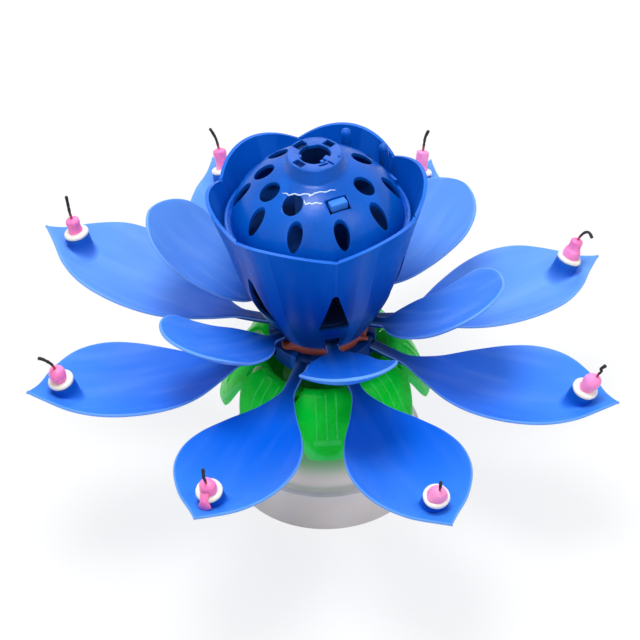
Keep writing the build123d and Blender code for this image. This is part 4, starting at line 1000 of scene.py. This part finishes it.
def ring_copies_tree():
    """Node tree that turns one form about Z into an even ring of copies, with its inputs' identifiers."""
    tree = bpy.data.node_groups.new("ring_of_copies", "GeometryNodeTree")
    inputs = {}
    kinds = {"Form": "Geometry", "Copies": "Int", "First turn": "Float", "Finish": "Material"}
    for title, kind in kinds.items():
        made = tree.interface.new_socket(title, in_out="INPUT", socket_type="NodeSocket" + kind)
        inputs[title] = made.identifier
    tree.interface.new_socket("Ring", in_out="OUTPUT", socket_type="NodeSocketGeometry")
    given = add_node(tree, "NodeGroupInput").outputs
    number = add_node(tree, "GeometryNodeInputIndex")
    share = add_node(tree, "ShaderNodeMath", (number, given["Copies"]), operation="DIVIDE")
    turn = add_node(tree, "ShaderNodeMath", (share, 2 * pi), operation="MULTIPLY")
    turn = add_node(tree, "ShaderNodeMath", (turn, given["First turn"]), operation="ADD")
    placed = add_node(tree, "GeometryNodeInstanceOnPoints", {
        "Points": add_node(tree, "GeometryNodePoints", {"Count": given["Copies"]}),
        "Instance": given["Form"], "Rotation": add_node(tree, "ShaderNodeCombineXYZ", {"Z": turn})})
    real = add_node(tree, "GeometryNodeRealizeInstances", (placed,))
    painted = add_node(tree, "GeometryNodeSetMaterial", {"Geometry": real, "Material": given["Finish"]})
    add_node(tree, "NodeGroupOutput", (painted,))
    return tree, inputs


ring_tree, ring_inputs = ring_copies_tree()


def ring_of(form, copies, first_turn, material):
    """Ring of copies of a form about Z, as one plain piece."""
    modifier = form.modifiers.new("ring", "NODES")
    modifier.node_group = ring_tree
    modifier[ring_inputs["Copies"]] = copies
    modifier[ring_inputs["First turn"]] = first_turn
    modifier[ring_inputs["Finish"]] = material
    made = bake(form)
    shade_smooth(made)
    return made


def make_calyx_ridges():
    """Three raised lines down each leaf."""
    profile = [(CALYX_RADIUS * r, CALYX_BOTTOM + CALYX_CREST * z) for r, z in CALYX_PROFILE_SHARES]
    line = smooth_run(profile, 10)
    # Points of the calyx's upper line that the ridges follow, from its crest to near the leaf's tip
    first, last = 20, 44
    leaf = Shell()
    for aside in (-RIDGE_STEP, 0.0, RIDGE_STEP):
        run = []
        for point in line[first:last]:
            angle = asin(aside / point.x)
            run.append(Vector((point.x * cos(angle), point.x * sin(angle), point.y + RIDGE_LIFT)))
        leaf.skin(bead(run, RIDGE_RADIUS, RIDGE_WIDTH_SHARE))
    form = leaf.piece("calyx_ridges", calyx_plastic)
    ridges = ring_of(form, CALYX_LEAVES, radians(-90), calyx_plastic)
    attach(ridges, "foot")


def smooth_share(value):
    """Smooth step from 0 to 1, held outside them."""
    share = min(max(value, 0), 1)
    return share * share * (3 - 2 * share)


def make_rubber_band():
    """Flat rubber band round the neck, flipped over twice and a little wavy."""
    count = 220
    inner_width, inner_thickness = BAND_HALF_WIDTH - BAND_CORNER, BAND_HALF_THICKNESS - BAND_CORNER
    section = ((inner_width, BAND_HALF_THICKNESS), (BAND_HALF_WIDTH, inner_thickness),
               (BAND_HALF_WIDTH, -inner_thickness), (inner_width, -BAND_HALF_THICKNESS),
               (-inner_width, -BAND_HALF_THICKNESS), (-BAND_HALF_WIDTH, -inner_thickness),
               (-BAND_HALF_WIDTH, inner_thickness), (-inner_width, BAND_HALF_THICKNESS))
    up = Vector((0, 0, 1))
    rings = []
    for index, (x, y) in enumerate(around(count)):
        degrees_round = (360 * index / count + 90) % 360
        flips = [smooth_share((degrees_round - start) / span) for start, span in BAND_FLIPS]
        turn = pi * sum(flips)
        lift = BAND_FLIP_LIFT * sum(sin(pi * flip) ** 2 for flip in flips)
        radius = BAND_RADIUS + lift + BAND_WAVE_OUT * noise.noise(Vector((x, y, 0)) * 3)
        height = BAND_HEIGHT + BAND_WAVE_UP * noise.noise(Vector((x, y, 4)) * 2)
        outward = Vector((x, y, 0))
        wide = up * cos(turn) + outward * sin(turn)
        thin = outward * cos(turn) - up * sin(turn)
        middle = outward * radius + up * height
        rings.append([middle + wide * a + thin * b for a, b in section])
    shell = Shell()
    shell.skin(rings + [rings[0]], capped=False)
    band = shell.piece("band", rubber)
    point_outwards(band.data, 0.001 * MM)
    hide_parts("rubber_band")
    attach(band, "flower")


def dome_point(radius, inset=0.0):
    """Height of the dome's outer face, or of the face an inset below it."""
    wide, tall = DOME_RADIUS - inset, DOME_HEIGHT - inset
    return POD_FLANGE_TOP + tall * sqrt(max(0.0, 1 - (radius / wide) ** 2))


def turned_piece(name, profile, material, count=96):
    """Ring-shaped piece turned from a closed profile of radius and height."""
    points = [(r * x, r * y, z) for x, y in around(count) for r, z in profile]
    rows = len(profile)
    faces = []
    for i in range(count):
        here, there = i * rows, (i + 1) % count * rows
        for j in range(rows):
            after = (j + 1) % rows
            faces.append((here + j, here + after, there + after, there + j))
    mesh = bpy.data.meshes.new(name)
    mesh.from_pydata(points, [], faces)
    point_outwards(mesh)
    return stand_piece(name, mesh, material)


def prism(shell, outline, low, high, place):
    """Adds an upright prism over a plane outline to a shell."""
    shell.skin([[place @ Vector((x, y, z)) for x, y in outline] for z in (low, high)])


def rectangle(length, width):
    """Corners of a rectangle, length along X."""
    x, y = length / 2, width / 2
    return [(x, y), (-x, y), (-x, -y), (x, -y)]


def at(azimuth, out):
    """Place turned about Z and moved out along its own X."""
    return Matrix.Rotation(radians(azimuth), 4, "Z") @ Matrix.Translation((out, 0, 0))


def soften(piece, width, segments, limit):
    """The piece with its edges bevelled where they turn by more than the limit."""
    soft = piece.modifiers.new("soft_edges", "BEVEL")
    soft.limit_method = "ANGLE"
    soft.angle_limit = radians(limit)
    soft.width = width
    soft.segments = segments
    return bake(piece)


def pod_profile():
    """Closed profile of the pod: flange with its lip, dome outside, ring and dome inside."""
    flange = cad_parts["seed_pod"].dimensions.x / 2
    profile = [(flange - 0.1 * MM, POD_FLANGE_BOTTOM), (flange, POD_FLANGE_BOTTOM + 0.1 * MM)]
    profile += [(flange - inward * MM, POD_FLANGE_TOP + up * MM) for inward, up in FLANGE_LIP]
    profile += [(DOME_RADIUS + out * MM, POD_FLANGE_TOP + up * MM) for out, up in FOOT_BEAD]
    steps = 26
    foot_turn = radians(3)
    dome_turn = pi / 2 - foot_turn - asin(RING_BASE_RADIUS / DOME_RADIUS)
    for i in range(steps):
        r = DOME_RADIUS * cos(foot_turn + dome_turn * i / steps)
        profile.append((r, dome_point(r)))
    profile += [(radius + out * MM, level + up * MM) for radius, level, out, up in RING_CORNERS]
    for i in range(steps + 1):
        span = DOME_RADIUS - DOME_WALL - RING_BASE_RADIUS + RING_WALL
        r = (RING_BASE_RADIUS - RING_WALL) + span * sin(pi / 2 * i / steps)
        profile.append((r, dome_point(r, DOME_WALL)))
    return profile + [(DOME_RADIUS - DOME_WALL, POD_FLANGE_BOTTOM)]


def pod_openings():
    """Piece that cuts the dome's holes, the latch window and the openings of the ring plate."""
    cutters = Shell()
    oval = [(LOW_HOLE_HALF_LENGTH * x, LOW_HOLE_HALF_WIDTH * y) for x, y in around(32)]
    for index in range(LOW_HOLES_COUNT):
        azimuth = LOW_HOLES_TURN + 360 / LOW_HOLES_COUNT * index
        prism(cutters, oval, *LOW_CUT, at(azimuth, LOW_HOLES_OUT))
    circle = [(HIGH_HOLE_RADIUS * x, HIGH_HOLE_RADIUS * y) for x, y in around(32)]
    for azimuth in HIGH_HOLE_AZIMUTHS:
        prism(cutters, circle, *HIGH_CUT, at(azimuth, HIGH_HOLES_OUT))
    prism(cutters, rectangle(*LATCH_WINDOW), *HIGH_CUT, at(LATCH_AZIMUTH, LATCH_OUT))
    for azimuth, out, along, across in RING_WINDOWS:
        prism(cutters, rectangle(along * MM, across * MM), *PLATE_CUT, at(azimuth, out * MM))
    knife = cutters.piece("pod_openings", pod_plastic)
    shade_smooth(knife, False)
    return knife


def make_seed_pod():
    """Pierced dome with its ring and flange."""
    pod = turned_piece("pod", pod_profile(), pod_plastic)
    knife = pod_openings()
    cut = pod.modifiers.new("openings", "BOOLEAN")
    cut.operation = "DIFFERENCE"
    cut.solver = "EXACT"
    cut.use_self = True
    cut.object = knife
    pod = bake(pod)
    bpy.data.objects.remove(knife)
    pod = soften(pod, 0.22 * MM, 2, 42)
    shade_smooth(pod)
    pod.data.set_sharp_from_angle(angle=radians(38))
    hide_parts("seed_pod")
    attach(pod, "flower")


def make_pod_trim():
    """Blocks on the ring plate, the two pegs at the rear, and the rib beside the second peg."""
    tabs = Shell()
    for azimuth, out, along, across, low, high in RING_BLOCKS:
        block = rectangle(along * MM, across * MM)
        prism(tabs, block, RING_TOP + low * MM, RING_TOP + high * MM, at(azimuth, out * MM))
    peg = [(1.75, -0.6)] + [(radius, PEG_HEIGHT - down) for radius, down in PEG_TOP]
    for azimuth in PEG_AZIMUTHS:
        rings = lathe([(r * MM, POD_FLANGE_TOP + h * MM) for r, h in peg], 24)
        stand = at(azimuth, PEG_OUT)
        tabs.skin([[stand @ p for p in ring] for ring in rings])
    rib_top = POD_FLANGE_TOP + RIB_HEIGHT
    prism(tabs, rectangle(*RIB_SIZE), POD_FLANGE_TOP, rib_top, at(RIB_AZIMUTH, RIB_OUT))
    trim = soften(tabs.piece("pod_pegs", pod_plastic), 0.15 * MM, 2, 40)
    trim.data.set_sharp_from_angle(angle=radians(35))
    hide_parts("seed_pod")
    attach(trim, "flower")


def make_latch_pad():
    """Pad of the latch that shows in the dome's window."""
    block = Shell()
    top = dome_point(LATCH_OUT) + LATCH_PAD_STAND
    prism(block, rectangle(*LATCH_PAD), top - LATCH_PAD_HEIGHT, top, at(LATCH_AZIMUTH, LATCH_OUT))
    pad = soften(block.piece("latch_pad", latch_plastic), 0.5 * MM, 3, 30)
    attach(pad, "flower")


def make_painted_glints():
    """Thin white jagged marks on the front of the dome, painted as glints."""
    shell = Shell()
    for mark in PAINTED_GLINTS:
        run = []
        for (turn_a, out_a), (turn_b, out_b) in zip(mark, mark[1:]):
            for t in (0, 0.25, 0.5, 0.75):
                out = (out_a + (out_b - out_a) * t) * MM
                run.append(at(turn_a + (turn_b - turn_a) * t, out) @ Vector((0, 0, dome_point(out) + HAIR)))
        shell.skin(bead(run, PAINTED_GLINT_RADIUS, 1.0, 6))
    marks = shell.piece("pod_painted_glints", painted_glint_plastic)
    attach(marks, "flower")


def dress_packed_pieces():
    """Gives every node of the frame the material of its slot."""
    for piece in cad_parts.values():
        slot_name = piece.data.materials[0].name if piece.data.materials else "flower_blue"
        dress(piece, SLOT_MATERIALS.get(slot_name.split(".")[0], cup_plastic))
    dress(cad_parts["mechanism_cover"], inner_plastic)
    dress(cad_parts["fountain_socket"], tube_plastic)


def stand_camera():
    """Camera at the photograph's place, rolled and shifted as the photograph is."""
    back = Vector((0, -cos(CAMERA_ELEVATION), sin(CAMERA_ELEVATION)))
    right = Vector((1, 0, 0))
    up = back.cross(right)
    turned_right = right * cos(CAMERA_ROLL) - up * sin(CAMERA_ROLL)
    turned_up = right * sin(CAMERA_ROLL) + up * cos(CAMERA_ROLL)
    data = bpy.data.cameras.new("camera")
    data.lens = CAMERA_LENS
    data.shift_x = (PICTURE_SIZE / 2 - OPTICAL_CENTRE[0]) / PICTURE_SIZE
    data.shift_y = (OPTICAL_CENTRE[1] - PICTURE_SIZE / 2) / PICTURE_SIZE
    data.clip_end = 20
    camera = bpy.data.objects.new("camera", data)
    camera.matrix_world = (Matrix.Translation(CAMERA_TARGET + back * CAMERA_DISTANCE)
                           @ Matrix((turned_right, turned_up, back)).transposed().to_4x4())
    bpy.context.scene.collection.objects.link(camera)
    bpy.context.scene.camera = camera


def seen_directly(tree):
    """1 where the camera, a mirror or clear material sees the surface, and 0 for the light that it gives."""
    path = add_node(tree, "ShaderNodeLightPath").outputs
    seen = path["Is Camera Ray"]
    for ray in ("Is Glossy Ray", "Is Transmission Ray"):
        seen = add_node(tree, "ShaderNodeMath", (seen, path[ray]), operation="MAXIMUM")
    return seen


def lay_floor():
    """Wide pale table that keeps a soft shadow."""
    material, tree = new_material("white_paper_table")
    paper = add_node(tree, "ShaderNodeBsdfDiffuse", {"Color": "#F6F6F6"})
    white = add_node(tree, "ShaderNodeEmission", {"Color": "#FFFFFF", "Strength": 1.0})
    share = add_node(tree, "ShaderNodeMath", (seen_directly(tree), 0.8), operation="MULTIPLY")
    mixed = add_node(tree, "ShaderNodeMixShader", (share, paper, white))
    add_node(tree, "ShaderNodeOutputMaterial", (mixed,))
    mesh = bpy.data.meshes.new("table")
    reach = 6.0
    mesh.from_pydata([(x, y, 0) for x, y in rectangle(2 * reach, 2 * reach)], [], [(0, 1, 2, 3)])
    table = stand_piece("table", mesh, material)


def light_studio():
    """White surround at a plain level, with soft boxes that face the flower."""
    world = bpy.data.worlds.new("studio")
    world.use_nodes = True
    tree = world.node_tree
    tree.nodes.clear()
    fill, white = [add_node(tree, "ShaderNodeBackground", {"Color": "#FFFFFF", "Strength": strength})
                   for strength in (0.4, 1.0)]
    mixed = add_node(tree, "ShaderNodeMixShader", (seen_directly(tree), fill, white))
    add_node(tree, "ShaderNodeOutputWorld", (mixed,))
    bpy.context.scene.world = world
    for name, place, size, power in SOFT_BOXES:
        data = bpy.data.lights.new(name, "AREA")
        data.size = size
        data.energy = power
        lamp = bpy.data.objects.new(name, data)
        lamp.location = place
        lamp.rotation_euler = (CAMERA_TARGET - Vector(place)).to_track_quat("-Z", "Y").to_euler()
        bpy.context.scene.collection.objects.link(lamp)


dress_packed_pieces()
make_petals()
make_seed_pod()
make_pod_trim()
make_latch_pad()
make_painted_glints()
make_calyx_ridges()
make_rubber_band()
stand_camera()
lay_floor()
light_studio()
bpy.context.scene.view_settings.view_transform = "Standard"
